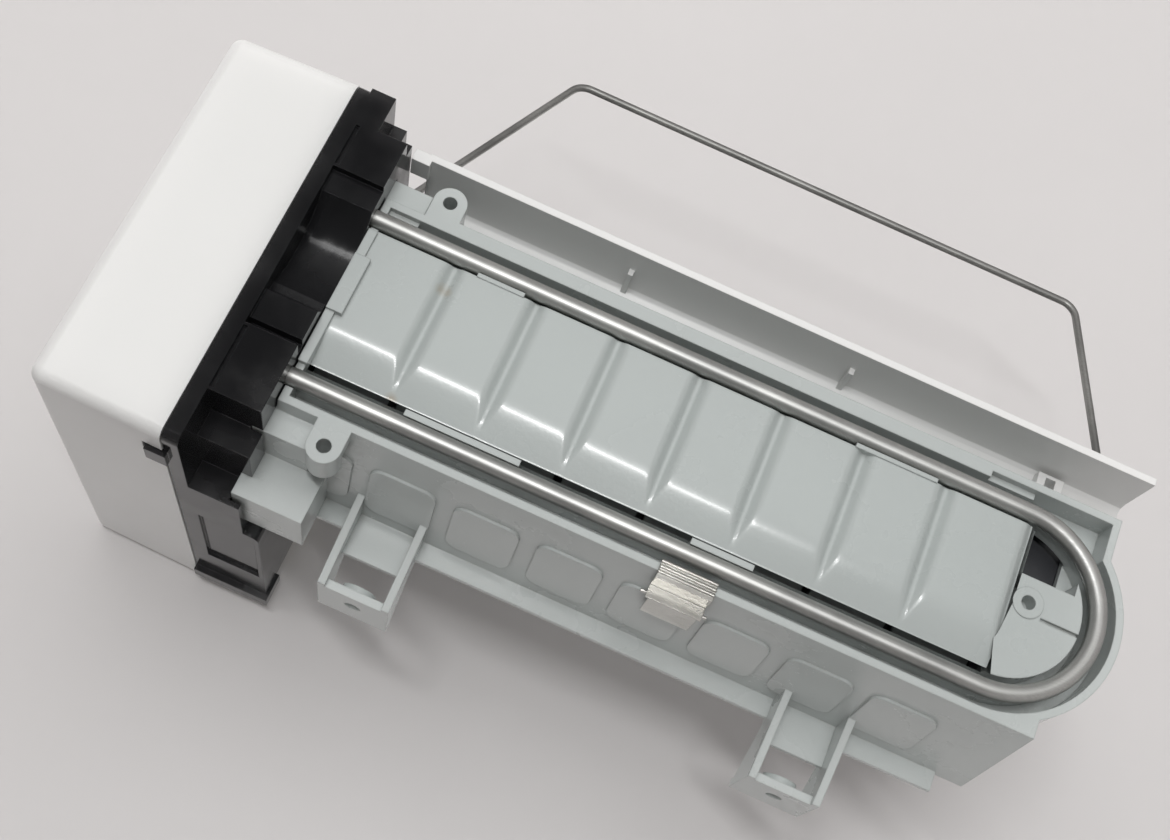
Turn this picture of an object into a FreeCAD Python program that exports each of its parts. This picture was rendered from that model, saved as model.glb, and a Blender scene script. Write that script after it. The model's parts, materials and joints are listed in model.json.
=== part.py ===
"""Crescent ice maker for a refrigerator, as a parametric FreeCAD document.

X runs along the row of cavities from the control end to the water inlet end, +Y points to the wall that the unit
hangs on, and +Z is up. The origin is midway between the two hanging screws, on the wall plane. The sizes below are
written from the mould: x from the mould's front face, y from its centre line and z from the heater's plane.
"""
import FreeCAD, Part
import Sketcher
import math
import os
import re

Vector = FreeCAD.Vector

SIZES = {
    # casting
    "cavity_pitch": 24.5, "cavity_count": 8, "row_start": -1.9, "divider_wall": 2.4, "cavity_radius": 31.5,
    "divider_top": 33.5, "weir_width": 7, "weir_depth": 9, "mold_front": -3, "mold_height": 45, "flange_half": 40,
    "rim_gap": 2.6, "rim_wall": 2.2, "channel_gap": 0.1, "channel_depth": 9, "saddle_wall": 3, "end_chamber": 16.5,
    "end_wall": 2.4, "bend_inset": 0.2, "corner_over": 24.2, "corner_half": 35, "floor_wall": 2.5,
    "plateau_level": 0.4, "window_wall": 2.9,
    "pad_drop": 0.5, "pad_dump_gap": 1.7, "pad_bend": 9, "pad_wall_gap": 1.9, "pad_gap": 2.6, "pad_slope": 3.3,
    "pad_round": 2.2, "bump_round": 4, "bump_height": 24, "bump_stand": 0.9, "bump_inset": 1.4, "bump_base": 13,
    "lip_width": 5.5, "lip_wall": 2, "lip_over": 8.9, "stake_wall": 1.8, "stake_stand": 1.2,
    "ear_place": 13.2, "ear_out": 6.4, "ear_radius": 4.8, "ear_hole": 2, "ear_height": 12, "ear_root": 4.5,
    "boss_over": 5.9, "boss_side": 1.3, "boss_radius": 4.4, "boss_drill": 6,
    "bracket_first": 33.5, "bracket_spacing": 130, "bracket_gap": 17, "fin_wall": 2.2, "fin_low": 31, "fin_top": 62,
    "wall_plane": 63.5, "bracket_wall": 2.5, "ledge_width": 12, "hang_height": 50, "hang_hole": 2.4, "hang_boss": 5,
    # heater
    "tube_radius": 2.5, "tube_half": 25.8, "tube_start": -14, "pin_radius": 1.6, "pin_length": 8,
    # ejector and its gears
    "ejector_height": 39, "shaft_radius": 4.4, "blade_gap": 2.3, "blade_width": 6.4, "blade_wall": 3.6,
    "blade_angle": 158, "journal_step": 0.4, "running_gap": 0.06, "stub_end": -40.5, "tail_over": 12.9,
    "gear_module": 1, "cam_teeth": 48, "idler_teeth": 30, "pinion_teeth": 12, "gear_wall": 4.6, "gear_back": -34.2,
    "idler_direction": 72, "pinion_direction": 100, "cam_radius": 17.4, "cam_wall": 6.2, "idler_pin_radius": 2,
    # housing
    "housing_back": -22.7, "plate_front": -18.2, "housing_front": -3.3, "housing_half": 57.5, "housing_base": -9,
    "housing_top": 114, "shoulder_height": 49, "shoulder_front": 1.5, "bearing_gap": 0.06,
    "panel_groove": 1.2,
    # cover
    "cover_gap": 0.3, "cover_front": -60.2, "cover_top": 124.5,
    "cover_wall": 2, "cover_round": 3.6, "cover_draft": 1.6,
    # mechanism
    "module_back": -27.2, "module_wall": 1.6, "module_inset": 6.5, "module_base": -2, "module_top": 113,
    "plate_screw_inset": 5, "post_reach": 4, "dial_radius": 5.5, "dial_side": -34, "dial_height": 8,
    "motor_radius": 24, "motor_depth": 16, "motor_back": -54.5, "motor_side": 3, "motor_height": 88.5,
    "switch_long": 20, "switch_wide": 6.4, "switch_tall": 10, "plunger_radius": 1.3, "plunger_reach": 1.5,
    # stripper
    "skirt_wall": 1.8, "skirt_start": 1.5, "skirt_over": 31.9, "finger_wall": 2.2, "finger_width": 14,
    "finger_tip": 11,
    # shut-off arm
    "wire_radius": 1.2, "arm_inset": 5.1, "arm_height": 33, "arm_reach": 68.5, "arm_rise": 11, "arm_near": 26,
    "arm_over": 6.3, "arm_near_root": -4, "arm_root_inset": 1, "arm_bend": 6, "arm_root_bend": 3.5, "arm_inside": -36,
    # fasteners
    "screw_radius": 1.9, "head_radius": 3.6, "head_height": 2.2, "contact_radius": 0.7,
}

# places that follow from the sizes
DERIVED = {
    "row_end": "(row_start + cavity_count * cavity_pitch)", "mold_tail": "(row_end + end_wall / 2 + end_chamber)",
    "channel_roof": "(tube_radius + channel_gap)", "bend_center": "(row_end - bend_inset)",
    "rim_half": "(tube_half + tube_radius + rim_gap + rim_wall)", "corner_reach": "(row_end + corner_over)",
    "pad_dump_edge": "(tube_half - tube_radius - pad_dump_gap)",
    "pad_wall_edge": "(tube_half - tube_radius - pad_wall_gap)",
    "lip_half": "(flange_half + lip_width)", "lip_end": "(row_end + lip_over)", "ear_half": "(rim_half + ear_out)",
    "boss_place": "(row_end + boss_over)", "ledge_half": "(flange_half + ledge_width)",
    "blade_reach": "(cavity_radius - blade_gap)", "journal_radius": "(shaft_radius - journal_step)",
    "stub_radius": "(journal_radius - 0.6)", "tail_end": "(row_end + tail_over)",
    "cover_half": "(housing_half + cover_gap)", "cover_base": "(housing_base - cover_gap)",
    "module_half": "(housing_half - module_inset)", "arm_side": "(arm_inset - housing_half)",
    "skirt_end": "(row_end + skirt_over)", "finger_level": "(mold_height)", "arm_far": "(row_end + arm_over)",
    "arm_far_root": "(skirt_end - arm_root_inset)", "clip_place": "(row_start + 4.69 * cavity_pitch)",
}

doc = FreeCAD.newDocument("IceMaker")
sheet = doc.addObject("Spreadsheet::Sheet", "Sizes")
for row, (alias, number) in enumerate(SIZES.items(), start=1):
    sheet.set(f"A{row}", alias)
    sheet.set(f"B{row}", str(number))
    sheet.setAlias(f"B{row}", alias)
doc.recompute()

WORD = re.compile(r"\b(" + "|".join(SIZES) + r")\b")
DERIVED_WORD = re.compile(r"\b(" + "|".join(DERIVED) + r")\b")
MOUNT = ("(bracket_first + bracket_spacing / 2)", "wall_plane", "hang_height")
nodes = []


def bound(expression):
    """The expression with its derived places worked out and every size name pointing at the sheet."""
    text = str(expression)
    while DERIVED_WORD.search(text):
        text = DERIVED_WORD.sub(lambda found: DERIVED[found.group()], text)
    return WORD.sub(r"Sizes.\1", text)


def value(expression):
    """The number that an expression has now."""
    return float(sheet.evalExpression(bound(expression)))


def shift(obj, x, y, z):
    """Places an object at a point given in mould coordinates."""
    for axis, place, origin in zip("xyz", (x, y, z), MOUNT):
        obj.setExpression(f"Placement.Base.{axis}", bound(f"({place}) - {origin}"))


def node(name, obj):
    """Makes an object one of the sub-parts."""
    obj.Label = name
    nodes.append(obj)
    return obj


def block(name, x, y, z):
    """A box between two limits on each axis."""
    box = doc.addObject("Part::Box", name)
    for side, (low, high) in zip(("Length", "Width", "Height"), (x, y, z)):
        box.setExpression(side, bound(f"({high}) - ({low})"))
    shift(box, x[0], y[0], z[0])
    return box


AXIS_TURN = {"x": FreeCAD.Rotation(Vector(0, 1, 0), 90), "y": FreeCAD.Rotation(Vector(1, 0, 0), -90),
             "z": FreeCAD.Rotation()}


def rod(name, axis, center, span, radius):
    """A cylinder along an axis; center holds its two other coordinates in X, Y, Z order."""
    cylinder = doc.addObject("Part::Cylinder", name)
    cylinder.setExpression("Radius", bound(radius))
    cylinder.setExpression("Height", bound(f"({span[1]}) - ({span[0]})"))
    cylinder.Placement.Rotation = AXIS_TURN[axis]
    place = list(center)
    place.insert("xyz".index(axis), span[0])
    shift(cylinder, *place)
    return cylinder


def origin_plane(body, role):
    """One of a body's own origin planes."""
    return next(feature for feature in body.Origin.OriginFeatures if feature.Role == role)


def draw(sketch, outline):
    """A closed outline of straight runs whose corners are bound to the sheet."""
    corners = [Vector(value(u), value(v), 0) for u, v in outline]
    count = len(corners)
    for index in range(count):
        sketch.addGeometry(Part.LineSegment(corners[index], corners[(index + 1) % count]), False)
    for index in range(count):
        sketch.addConstraint(Sketcher.Constraint("Coincident", index, 2, (index + 1) % count, 1))
    for index, (u, v) in enumerate(outline):
        for kind, place, now in (("DistanceX", u, corners[index].x), ("DistanceY", v, corners[index].y)):
            number = sketch.addConstraint(Sketcher.Constraint(kind, -1, 1, index, 1, now))
            sketch.setExpression(f"Constraints[{number}]", bound(place))


PLANES = {"x": "YZ_Plane", "z": "XY_Plane"}


def prism(name, axis, outline, span):
    """A body: an outline in the plane across an axis, padded from one place on that axis to another."""
    body = doc.addObject("PartDesign::Body", name)
    shift(body, 0, 0, 0)
    sketch = body.newObject("Sketcher::SketchObject", name + "_outline")
    sketch.AttachmentSupport = [(origin_plane(body, PLANES[axis]), "")]
    sketch.MapMode = "FlatFace"
    sketch.setExpression("AttachmentOffset.Base.z", bound(span[0]))
    draw(sketch, outline)
    pad = body.newObject("PartDesign::Pad", name + "_pad")
    pad.Profile = sketch
    pad.setExpression("Length", bound(f"({span[1]}) - ({span[0]})"))
    sketch.Visibility = False
    return body


def round_edges(body, radius, wanted):
    """Rounds the edges of a body's tip that the test accepts; the test gets an edge in mould coordinates."""
    doc.recompute()
    tip = body.Tip
    names = [f"Edge{index}" for index, edge in enumerate(tip.Shape.Edges, start=1) if wanted(edge)]
    fillet = body.newObject("PartDesign::Fillet", body.Name + "_round")
    fillet.Base = (tip, names)
    fillet.setExpression("Radius", bound(radius))
    return body


def middle(edge):
    """The middle of an edge."""
    return edge.valueAt((edge.FirstParameter + edge.LastParameter) / 2)


def along(edge, axis):
    """Whether a straight edge runs along an axis."""
    ends = edge.Vertexes
    if len(ends) < 2:
        return False
    run = ends[1].Point - ends[0].Point
    return abs(getattr(run, axis)) > 0.99 * run.Length


def fuse(name, shapes):
    """One solid out of several."""
    joined = doc.addObject("Part::MultiFuse", name)
    joined.Shapes = shapes
    joined.Refine = True
    return joined


def cut(name, base, tools):
    """A shape with others taken away."""
    tool = tools[0] if len(tools) == 1 else fuse(name + "_tools", tools)
    result = doc.addObject("Part::Cut", name)
    result.Base = base
    result.Tool = tool
    result.Refine = True
    return result


def group(name, shapes):
    """Separate solids that share a node."""
    compound = doc.addObject("Part::Compound", name)
    compound.Links = shapes
    return compound


def screw(name, axis, center, head, way, length):
    """A pan-head screw: the head's seat is at `head` and the shank runs `way` (+1 or -1) along the axis."""
    shank = (head, f"({head}) + ({length})") if way > 0 else (f"({head}) - ({length})", head)
    cap = (f"({head}) - head_height", head) if way > 0 else (head, f"({head}) + head_height")
    body = fuse(name + "_body", [rod(name + "_shank", axis, center, shank, "screw_radius"),
                                 rod(name + "_head", axis, center, cap, "head_radius")])
    slot_depth = 1.1
    low, high = (f"({head}) - head_height - 1", f"({head}) - head_height + {slot_depth}")
    if way < 0:
        low, high = (f"({head}) + head_height - {slot_depth}", f"({head}) + head_height + 1")
    u, v = center
    half = 0.5
    cross = []
    for index, (a, b) in enumerate(((2.3, half), (half, 2.3))):
        spans = [(f"({u}) - {a}", f"({u}) + {a}"), (f"({v}) - {b}", f"({v}) + {b}")]
        spans.insert("xyz".index(axis), (low, high))
        cross.append(block(f"{name}_slot{index}", *spans))
    return cut(name, body, cross)


# ---------------------------------------------------------------- casting
def cavity_span(index):
    """Where a cavity starts and ends along the row."""
    start = f"row_start + {index} * cavity_pitch + divider_wall / 2"
    end = f"row_start + {index + 1} * cavity_pitch - divider_wall / 2"
    return start, end


COUNT = int(SIZES["cavity_count"])


def cavity(name, span, low):
    """The space of a cavity: a trough round the ejector's axis, open upwards."""
    trough = rod(name + "_trough", "x", (0, "ejector_height"), span, "cavity_radius")
    mouth = block(name + "_mouth", span, ("-cavity_radius", "cavity_radius"), ("ejector_height", "mold_height + 1"))
    space = fuse(name, [trough, mouth])
    if low is None:
        return space
    keep = block(name + "_keep", span, ("-cavity_radius - 1", "cavity_radius + 1"), (low, "mold_height + 1"))
    common = doc.addObject("Part::MultiCommon", name + "_upper")
    common.Shapes = [space, keep]
    return common


def pad_block(index):
    """One of the rounded blocks that show under the cavities."""
    start = f"row_start + {index} * cavity_pitch + pad_gap / 2"
    end = f"row_start + {index + 1} * cavity_pitch - pad_gap / 2"
    if index == COUNT - 1:
        end = "row_end + end_wall / 2"
    body = prism(f"pad{index}", "x", [("-pad_dump_edge", "channel_roof + 1"), ("-pad_dump_edge", "-pad_drop"),
                                      ("pad_bend", "-pad_drop"), ("pad_wall_edge", "pad_slope - pad_drop"),
                                      ("pad_wall_edge", "channel_roof + 1")], (start, end))
    level = -value("pad_drop")

    def lower(edge):
        point = middle(edge)
        low_end = min(vertex.Z for vertex in edge.Vertexes)
        return abs(low_end - level) < 0.01 and point.z < value("channel_roof - 0.7")
    return round_edges(body, "pad_round", lower)


def side_bump(index):
    """A shallow rounded panel on the casting's slanting side, one for each cavity."""
    start, end = cavity_span(index)
    low = (f"{start} + bump_inset", f"{end} - bump_inset")
    outline = [(low[0], 0), (low[1], 0), (low[1], "bump_height"), (low[0], "bump_height")]
    panel = prism(f"bump{index}", "z", outline, ("-bump_stand", 2))
    round_edges(panel, "bump_round", lambda edge: along(edge, "z"))
    panel.Placement.Rotation = FreeCAD.Rotation(Vector(1, 0, 0), 60)
    panel.setExpression("Placement.Rotation.Angle", bound("90 - atan((flange_half - rim_half) / mold_height) / 1deg"))
    shift(panel, 0, "rim_half + (flange_half - rim_half) * bump_base / mold_height", "bump_base")
    return panel


STAKES = ((1.26, 1.83, "dump"), (5.87, 6.86, "dump"), (1.22, 2.57, "wall"), (4.57, 5.30, "wall"))
LUG_HOLES = ((-1, 12), (1, 15))


def casting():
    """The cast mould with its ears, lugs and hanging brackets."""
    side = [("-flange_half", "mold_height"), ("-rim_half", 0), ("rim_half", 0), ("flange_half", "mold_height")]
    solids = [prism("mold_block", "x", side, ("mold_front", "mold_tail"))]
    low_rim = "channel_depth + floor_wall"
    solids.append(rod("mold_bend", "z", ("bend_center", 0), (0, low_rim), "rim_half"))
    solids.append(block("mold_corner", ("bend_center", "corner_reach"), ("-corner_half", -12), (0, low_rim)))
    solids.append(block("rim_dump", (14, "corner_reach"), ("-corner_half", "-rim_half + 1"), (0, low_rim)))
    core = fuse("mold_core", solids)

    inner = "rim_half - rim_wall"
    legs = ("mold_front + 2.2", "bend_center")
    hollows = [
        block("channel_hollow", legs, (f"-({inner})", inner), (-1, "channel_roof")),
        block("dump_channel", legs, (f"-({inner})", "-pad_dump_edge"), (-1, "channel_depth")),
        block("wall_channel", legs, ("pad_wall_edge", inner), (-1, "channel_depth")),
        rod("bend_floor", "z", ("bend_center", 0), (-1, "plateau_level"), inner),
        block("corner_hollow", ("bend_center - 14", "bend_center + 1"), ("-corner_half + rim_wall", -14),
              (-1, "channel_roof")),
        bend_channel(inner),
        block("end_window", ("row_end + 2", "row_end + 17.5"),
              ("-pad_dump_edge", "-boss_side - boss_radius - window_wall"), (-1, "channel_depth")),
        block("boss_groove", ("boss_place + boss_radius", "bend_center + pad_dump_edge"), (1.2, 2.2),
              (-1, "plateau_level + 1.2")),
    ]
    for way in (-1, 1):
        hollows.append(rod(f"leg_passage{way}", "x", (f"{way} * tube_half", 0), ("mold_front - 1", 4),
                           "tube_radius + 0.3"))
    for index in range(COUNT):
        hollows.append(cavity(f"cavity{index}", cavity_span(index), None))
    first, last = cavity_span(0)[0], cavity_span(COUNT - 1)[1]
    hollows.append(cavity("over_dividers", (first, last), "divider_top"))
    hollows.append(block("weir", (f"{first} + 1", f"{last} - 1"), ("12 - weir_width / 2", "12 + weir_width / 2"),
                         ("divider_top - weir_depth", "divider_top + 1")))
    chamber = ("row_end + end_wall / 2 + 1.4", "mold_tail - end_wall")
    hollows.append(block("end_chamber_hollow", chamber, (-29, 29), (low_rim, "mold_height + 1")))
    for name, span in (("front_journal", ("mold_front - 1", f"{first} + 1")),
                       ("tail_journal", (f"{last} - 1", "tail_end + 8"))):
        hollows.append(rod(name, "x", (0, "ejector_height"), span, "shaft_radius + 0.5"))
        hollows.append(block(name + "_mouth", span, ("-shaft_radius - 0.5", "shaft_radius + 0.5"),
                             ("ejector_height", "mold_height + 1")))
    trough = cut("mold_trough", core, hollows)

    added = [pad_block(index) for index in range(COUNT)] + [side_bump(index) for index in range(COUNT)]
    added.append(block("wall_lip", ("mold_front", "lip_end"), ("flange_half - 4", "lip_half"),
                       ("mold_height - lip_wall", "mold_height")))
    for index in range(2):
        added += bracket(index)
    for way in (-1, 1):
        added += ear(f"ear{way}", "ear_place", f"{way} * ear_half", way)
    added += saddles()
    added.append(rod("end_boss", "z", ("boss_place", "-boss_side"), (0, low_rim), "boss_radius"))
    added.append(block("front_lug", ("mold_front", "mold_front + 4.6"), (-13, 5), ("-pad_drop - 2.2", 4)))
    added.append(block("front_edge", ("mold_front", "mold_front + 2.6"), ("-pad_dump_edge", "pad_wall_edge"),
                       ("-pad_drop - 1.4", 4)))
    for name, x, y, z in (("lug_upper", (-6.5, 9), (29.6, 41), (5, 27)), ("lug_wall", (-6.5, 14), (38, 55), (22, 43)),
                          ("lug_dump", (-6.5, 8), (-40, -29.6), (2, 24))):
        added.append(block(name, (x[0], x[1]), y, z))
    edge = "(tube_half - tube_radius - 0.1)"
    dump, wall = (f"-{edge}", "-pad_dump_edge - 0.3"), (f"{edge} - stake_wall", edge)
    for index, (first, last, side) in enumerate(STAKES):
        span = [f"row_start + {place} * cavity_pitch" for place in (first, last)]
        added.append(block(f"stake{index}", span, dump if side == "dump" else wall,
                           ("-stake_stand", "channel_roof + 1")))
    whole = fuse("mold_whole", [trough] + added)
    holes = [rod(f"ear_hole{way}", "z", ("ear_place", f"{way} * ear_half"), (-1, "ear_height - 1"), "ear_hole")
             for way in (-1, 1)]
    holes.append(block("window_floor", (chamber[0], f"{chamber[1]} - 0.5"),
                       ("-tube_half", "-boss_side - boss_radius - window_wall"),
                       ("channel_depth - 1", "channel_depth + 6")))
    holes.append(rod("boss_hole", "z", ("boss_place", "-boss_side"), (-1, "boss_drill"), "ear_hole"))
    holes += [rod(f"hang_hole{index}", "y", (f"bracket_first + {index} * bracket_spacing", "hang_height"),
                  ("wall_plane - 6", "wall_plane + 1"), "hang_hole") for index in range(2)]
    for way, height in LUG_HOLES:
        holes.append(rod(f"lug_hole{way}", "x", (f"{way} * 35", height), (-8, 6), "screw_radius"))
    return cut("mold_body", whole, holes)


def saddles():
    """The ribs in the channel that the heater lies on."""
    half = "saddle_wall / 2"
    height = ("channel_roof", "channel_depth + 1")
    legs = [block(f"saddle{way}", ("mold_front + 1", "bend_center"),
                  (f"{way} * tube_half - {half}", f"{way} * tube_half + {half}"), height) for way in (-1, 1)]
    ring = cut("saddle_ring", rod("saddle_outside", "z", ("bend_center", 0), height, f"tube_half + {half}"),
               [rod("saddle_inside", "z", ("bend_center", 0), ("channel_roof - 1", "channel_depth + 2"),
                    f"tube_half - {half}"),
                block("saddle_front", ("bend_center - tube_half - 5", "bend_center"),
                      ("-tube_half - 5", "tube_half + 5"), ("channel_roof - 1", "channel_depth + 2"))])
    return legs + [ring]


def bend_channel(inner):
    """The deep channel round the heater's bend, with the pocket in the corner outside it."""
    height = (-1, "channel_depth")
    deep = fuse("bend_deep", [rod("bend_outside", "z", ("bend_center", 0), height, inner),
                              block("corner_pocket", ("bend_center", "corner_reach - rim_wall"),
                                    ("-corner_half + rim_wall", -14), height)])
    cleared = (-2, "channel_depth + 1")
    return cut("bend_channel", deep, [rod("bend_inside", "z", ("bend_center", 0), cleared, "pad_dump_edge"),
                                      block("bend_front", ("bend_center - rim_half", "bend_center"),
                                            ("-corner_half", "corner_half"), cleared)])


def ear(name, x, y, way):
    """A drilled ear that stands out from the rim, on a pillar."""
    root = (f"({y}) - 8", y) if way > 0 else (y, f"({y}) + 8")
    return [rod(name, "z", (x, y), (0, "ear_height"), "ear_radius"),
            block(name + "_root", (f"{x} - ear_radius", f"{x} + ear_radius"), root, (0, "ear_root"))]


def bracket(index):
    """A hanging bracket: two fins, a ledge between them and a drilled plate against the wall."""
    middle_x = f"(bracket_first + {index} * bracket_spacing)"
    inner, outer = "bracket_gap / 2", "(bracket_gap / 2 + fin_wall)"
    parts = []
    for way in (-1, 1):
        near, far = sorted((f"{middle_x} {'-' if way < 0 else '+'} {inner}",
                            f"{middle_x} {'-' if way < 0 else '+'} {outer}"), key=value)
        parts.append(prism(f"fin{index}_{way}", "x",
                           [("flange_half - 3.5", "fin_low"), ("wall_plane", "fin_low + 8"),
                            ("wall_plane", "fin_top"), ("flange_half + 8", "mold_height + 2"),
                            ("flange_half - 2", "mold_height")], (near, far)))
    parts.append(block(f"ledge{index}", (f"{middle_x} - {inner}", f"{middle_x} + {inner}"),
                       ("flange_half", "ledge_half"), ("mold_height - lip_wall", "mold_height")))
    parts.append(block(f"wall_plate{index}", (f"{middle_x} - {outer}", f"{middle_x} + {outer}"),
                       ("wall_plane - bracket_wall", "wall_plane"), ("hang_height - 9", "fin_top")))
    parts.append(rod(f"hang_boss{index}", "y", (middle_x, "hang_height"), ("wall_plane - 5", "wall_plane"), "hang_boss"))
    return parts


node("mold_body", casting())


# ---------------------------------------------------------------- heater
def heater():
    """The sheathed tube: two legs and the bend that joins them."""
    legs = [rod(f"heater_leg{way}", "x", (f"{way} * tube_half", 0), ("tube_start", "bend_center"), "tube_radius")
            for way in (-1, 1)]
    bend = doc.addObject("Part::Torus", "heater_bend")
    bend.setExpression("Radius1", bound("tube_half"))
    bend.setExpression("Radius2", bound("tube_radius"))
    bend.Angle3 = 180
    bend.Placement.Rotation = FreeCAD.Rotation(Vector(0, 0, 1), -90)
    shift(bend, "bend_center", 0, 0)
    return fuse("heater_tube", legs + [bend])


def terminal(way):
    """A terminal pin with its blade, set in the end of a heater leg."""
    center = (f"{way} * tube_half", 0)
    pin = rod(f"terminal_pin{way}", "x", center, ("tube_start - pin_length", "tube_start"), "pin_radius")
    blade = block(f"terminal_blade{way}", ("tube_start - pin_length - 2", "tube_start - pin_length + 3"),
                  (f"{way} * tube_half - tube_radius + 0.1", f"{way} * tube_half + tube_radius - 0.1"),
                  (-0.4, 0.4))
    return fuse(f"terminal{way}", [pin, blade])


node("heater_tube", heater())
node("heater_terminals", group("heater_terminals", [terminal(-1), terminal(1)]))


# ---------------------------------------------------------------- support housing
BEARING = "shaft_radius + bearing_gap"
PLATE_SCREWS = [(f"{way} * (module_half - plate_screw_inset)", height) for height in
                ("module_base + plate_screw_inset", "module_top - plate_screw_inset") for way in (-1, 1)]
DIAL_CENTER = ("dial_side", "dial_height")
SENSOR_CENTER = (12, 18)


def housing():
    """The black moulding between cover and mould; it carries the ejector's front bearing."""
    base = [("-housing_half", "housing_top"), ("-housing_half", 5), (-50, 5), (-50, -2), (-46, -2),
            (-46, "housing_base"), (-31, "housing_base"), (-31, -6.5), (-22, -6.5), (-19, -3), (7, -3), (9, -7),
            (18, -7), (18, -3.5), (20.5, -3.5), (20.5, "housing_base"), (41, "housing_base"), (41, 6), (49, 6),
            (49, 26), ("housing_half", 26), ("housing_half", "housing_top")]
    front = prism("housing_front_mass", "x", base, ("plate_front - 1", "housing_front"))
    plate = prism("housing_plate", "x", [("-housing_half", "cover_top - 0.6"), ("-housing_half", "housing_base"),
                                         ("housing_half", "housing_base"), ("housing_half", "cover_top - 0.6")],
                  ("housing_back", "plate_front"))
    round_edges(plate, 3, lambda edge: along(edge, "x"))
    shoulder = prism("housing_shoulder", "x",
                     [("-housing_half", "shoulder_height"), ("housing_half", "shoulder_height"),
                      ("housing_half", "housing_top"), ("-housing_half", "housing_top")],
                     ("housing_front - 1", "shoulder_front"))
    round_edges(shoulder, 3, lambda edge: along(edge, "y") and middle(edge).x > value("shoulder_front - 0.1"))
    lip = block("housing_lip", ("housing_back", "shoulder_front + 1"), (50, "housing_half + 2"),
                ("housing_top - 3", "housing_top + 3"))
    tab = block("cover_tab", ("housing_back - 5", "housing_back + 1"), ("housing_half - 1", "housing_half + 1.6"),
                (2, 9))
    corner = block("dump_corner", ("plate_front - 1", -12), ("-housing_half", -46), ("housing_base", 6))
    whole = fuse("housing_whole", [front, plate, shoulder, lip, tab, corner])

    hollows = [rod("concave", "x", (-8, -18.5), ("plate_front", "housing_front + 1"), 20),
               rod("bearing_bore", "x", (0, "ejector_height"), ("housing_back - 1", "shoulder_front + 1"), BEARING),
               block("dump_step", (-8, "housing_front + 1"), ("-housing_half - 1", -50), (0, 48)),
               block("wall_recess", ("plate_front + 1", "shoulder_front - 1.6"), ("housing_half - 1", "housing_half + 3"),
                     (50, 92)),
               block("panel_groove_dump", ("plate_front", "plate_front + panel_groove"), (-45.2, -31.8),
                     ("housing_base - 1", "housing_base + panel_groove")),
               block("panel_groove_wall", ("plate_front", "plate_front + panel_groove"), (21.3, 40.2),
                     ("housing_base - 1", "housing_base + panel_groove")),
               rod("thermostat_seat", "x", SENSOR_CENTER, ("housing_back - 1", "housing_front + 1"), 9)]
    for name, y, z in (("room_upper", (-52, 52), (62, 104)), ("room_dump", (-45, -12), (30, 55)),
                       ("room_wall", (12, 45), (30, 55)), ("room_low", (-42, -12), (8, 24))):
        hollows.append(block(name, ("housing_back - 1", "housing_front - 3"), y, z))
    for way in (-1, 1):
        hollows.append(rod(f"leg_bore{way}", "x", (f"{way} * tube_half", 0), ("housing_back - 1", 0),
                           "tube_radius + 0.35"))
    hollows.append(block("lug_space_wall", (-6.8, 3), (37.5, 56), (21.5, 43.5)))
    hollows.append(block("lug_space_upper", (-6.8, 3), (27.5, 41.5), (4.5, 27.5)))
    hollows.append(block("lug_space_dump", (-6.8, 3), (-40.5, -27.5), (1.5, 24.5)))
    hollows.append(rod("arm_bore", "x", ("arm_side", "arm_height"), ("housing_back - 1", 3), "wire_radius + 0.08"))
    for way, height in LUG_HOLES:
        hollows.append(rod(f"lug_screw_bore{way}", "x", (f"{way} * 35", height), (-12, 0), "screw_radius + 0.3"))
        hollows.append(rod(f"lug_screw_head{way}", "x", (f"{way} * 35", height), ("housing_back - 1", -9.5),
                           "head_radius + 0.6"))
    hollows += [rod(f"pilot{index}", "x", place, ("housing_back - 1", "housing_back + 3.2"), "screw_radius")
                for index, place in enumerate(PLATE_SCREWS)]
    hollows.append(block("socket_seat", (-16.3, -3.7), (19.7, 44.3), ("housing_top - 12.3", "housing_top + 4")))
    return cut("support_housing", whole, hollows)


node("support_housing", housing())
node("mold_screws", group("mold_screws", [screw(f"mold_screw{way}", "x", (f"{way} * 35", height), -9.5, 1, 14)
                                          for way, height in LUG_HOLES]))


# ---------------------------------------------------------------- cover
def cover():
    """The white snap-on cover, drafted towards its front, with rounded edges."""
    body = doc.addObject("PartDesign::Body", "cover_shell")
    shift(body, 0, 0, 0)
    open_face = "housing_back - cover_gap"
    shell = None
    for name, inset, kind in (("cover_outside", "0", "PartDesign::Pad"),
                              ("cover_inside", "cover_wall", "PartDesign::Pocket")):
        sketch = body.newObject("Sketcher::SketchObject", name + "_outline")
        sketch.AttachmentSupport = [(origin_plane(body, "YZ_Plane"), "")]
        sketch.MapMode = "FlatFace"
        sketch.setExpression("AttachmentOffset.Base.z", bound(open_face))
        y, low, high = f"cover_half - {inset}", f"cover_base + {inset}", f"cover_top - {inset}"
        draw(sketch, [(f"-({y})", low), (y, low), (y, high), (f"-({y})", high)])
        feature = body.newObject(kind, name)
        feature.Profile = sketch
        feature.setExpression("Length", bound(f"{open_face} - cover_front - {inset}"))
        feature.setExpression("TaperAngle", "-" + bound("cover_draft"))
        feature.Reversed = kind.endswith("Pad")
        sketch.Visibility = False
        if shell is None:
            shell = round_edges(body, "cover_round",
                                lambda edge: middle(edge).x < value(open_face) - 1)
    return body


node("control_cover", cut("control_cover", cover(), [block("tab_notch", ("housing_back - 6", "housing_back + 1"),
                                                           ("housing_half - 4", "housing_half + 4"), (1.4, 9.6))]))


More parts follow.
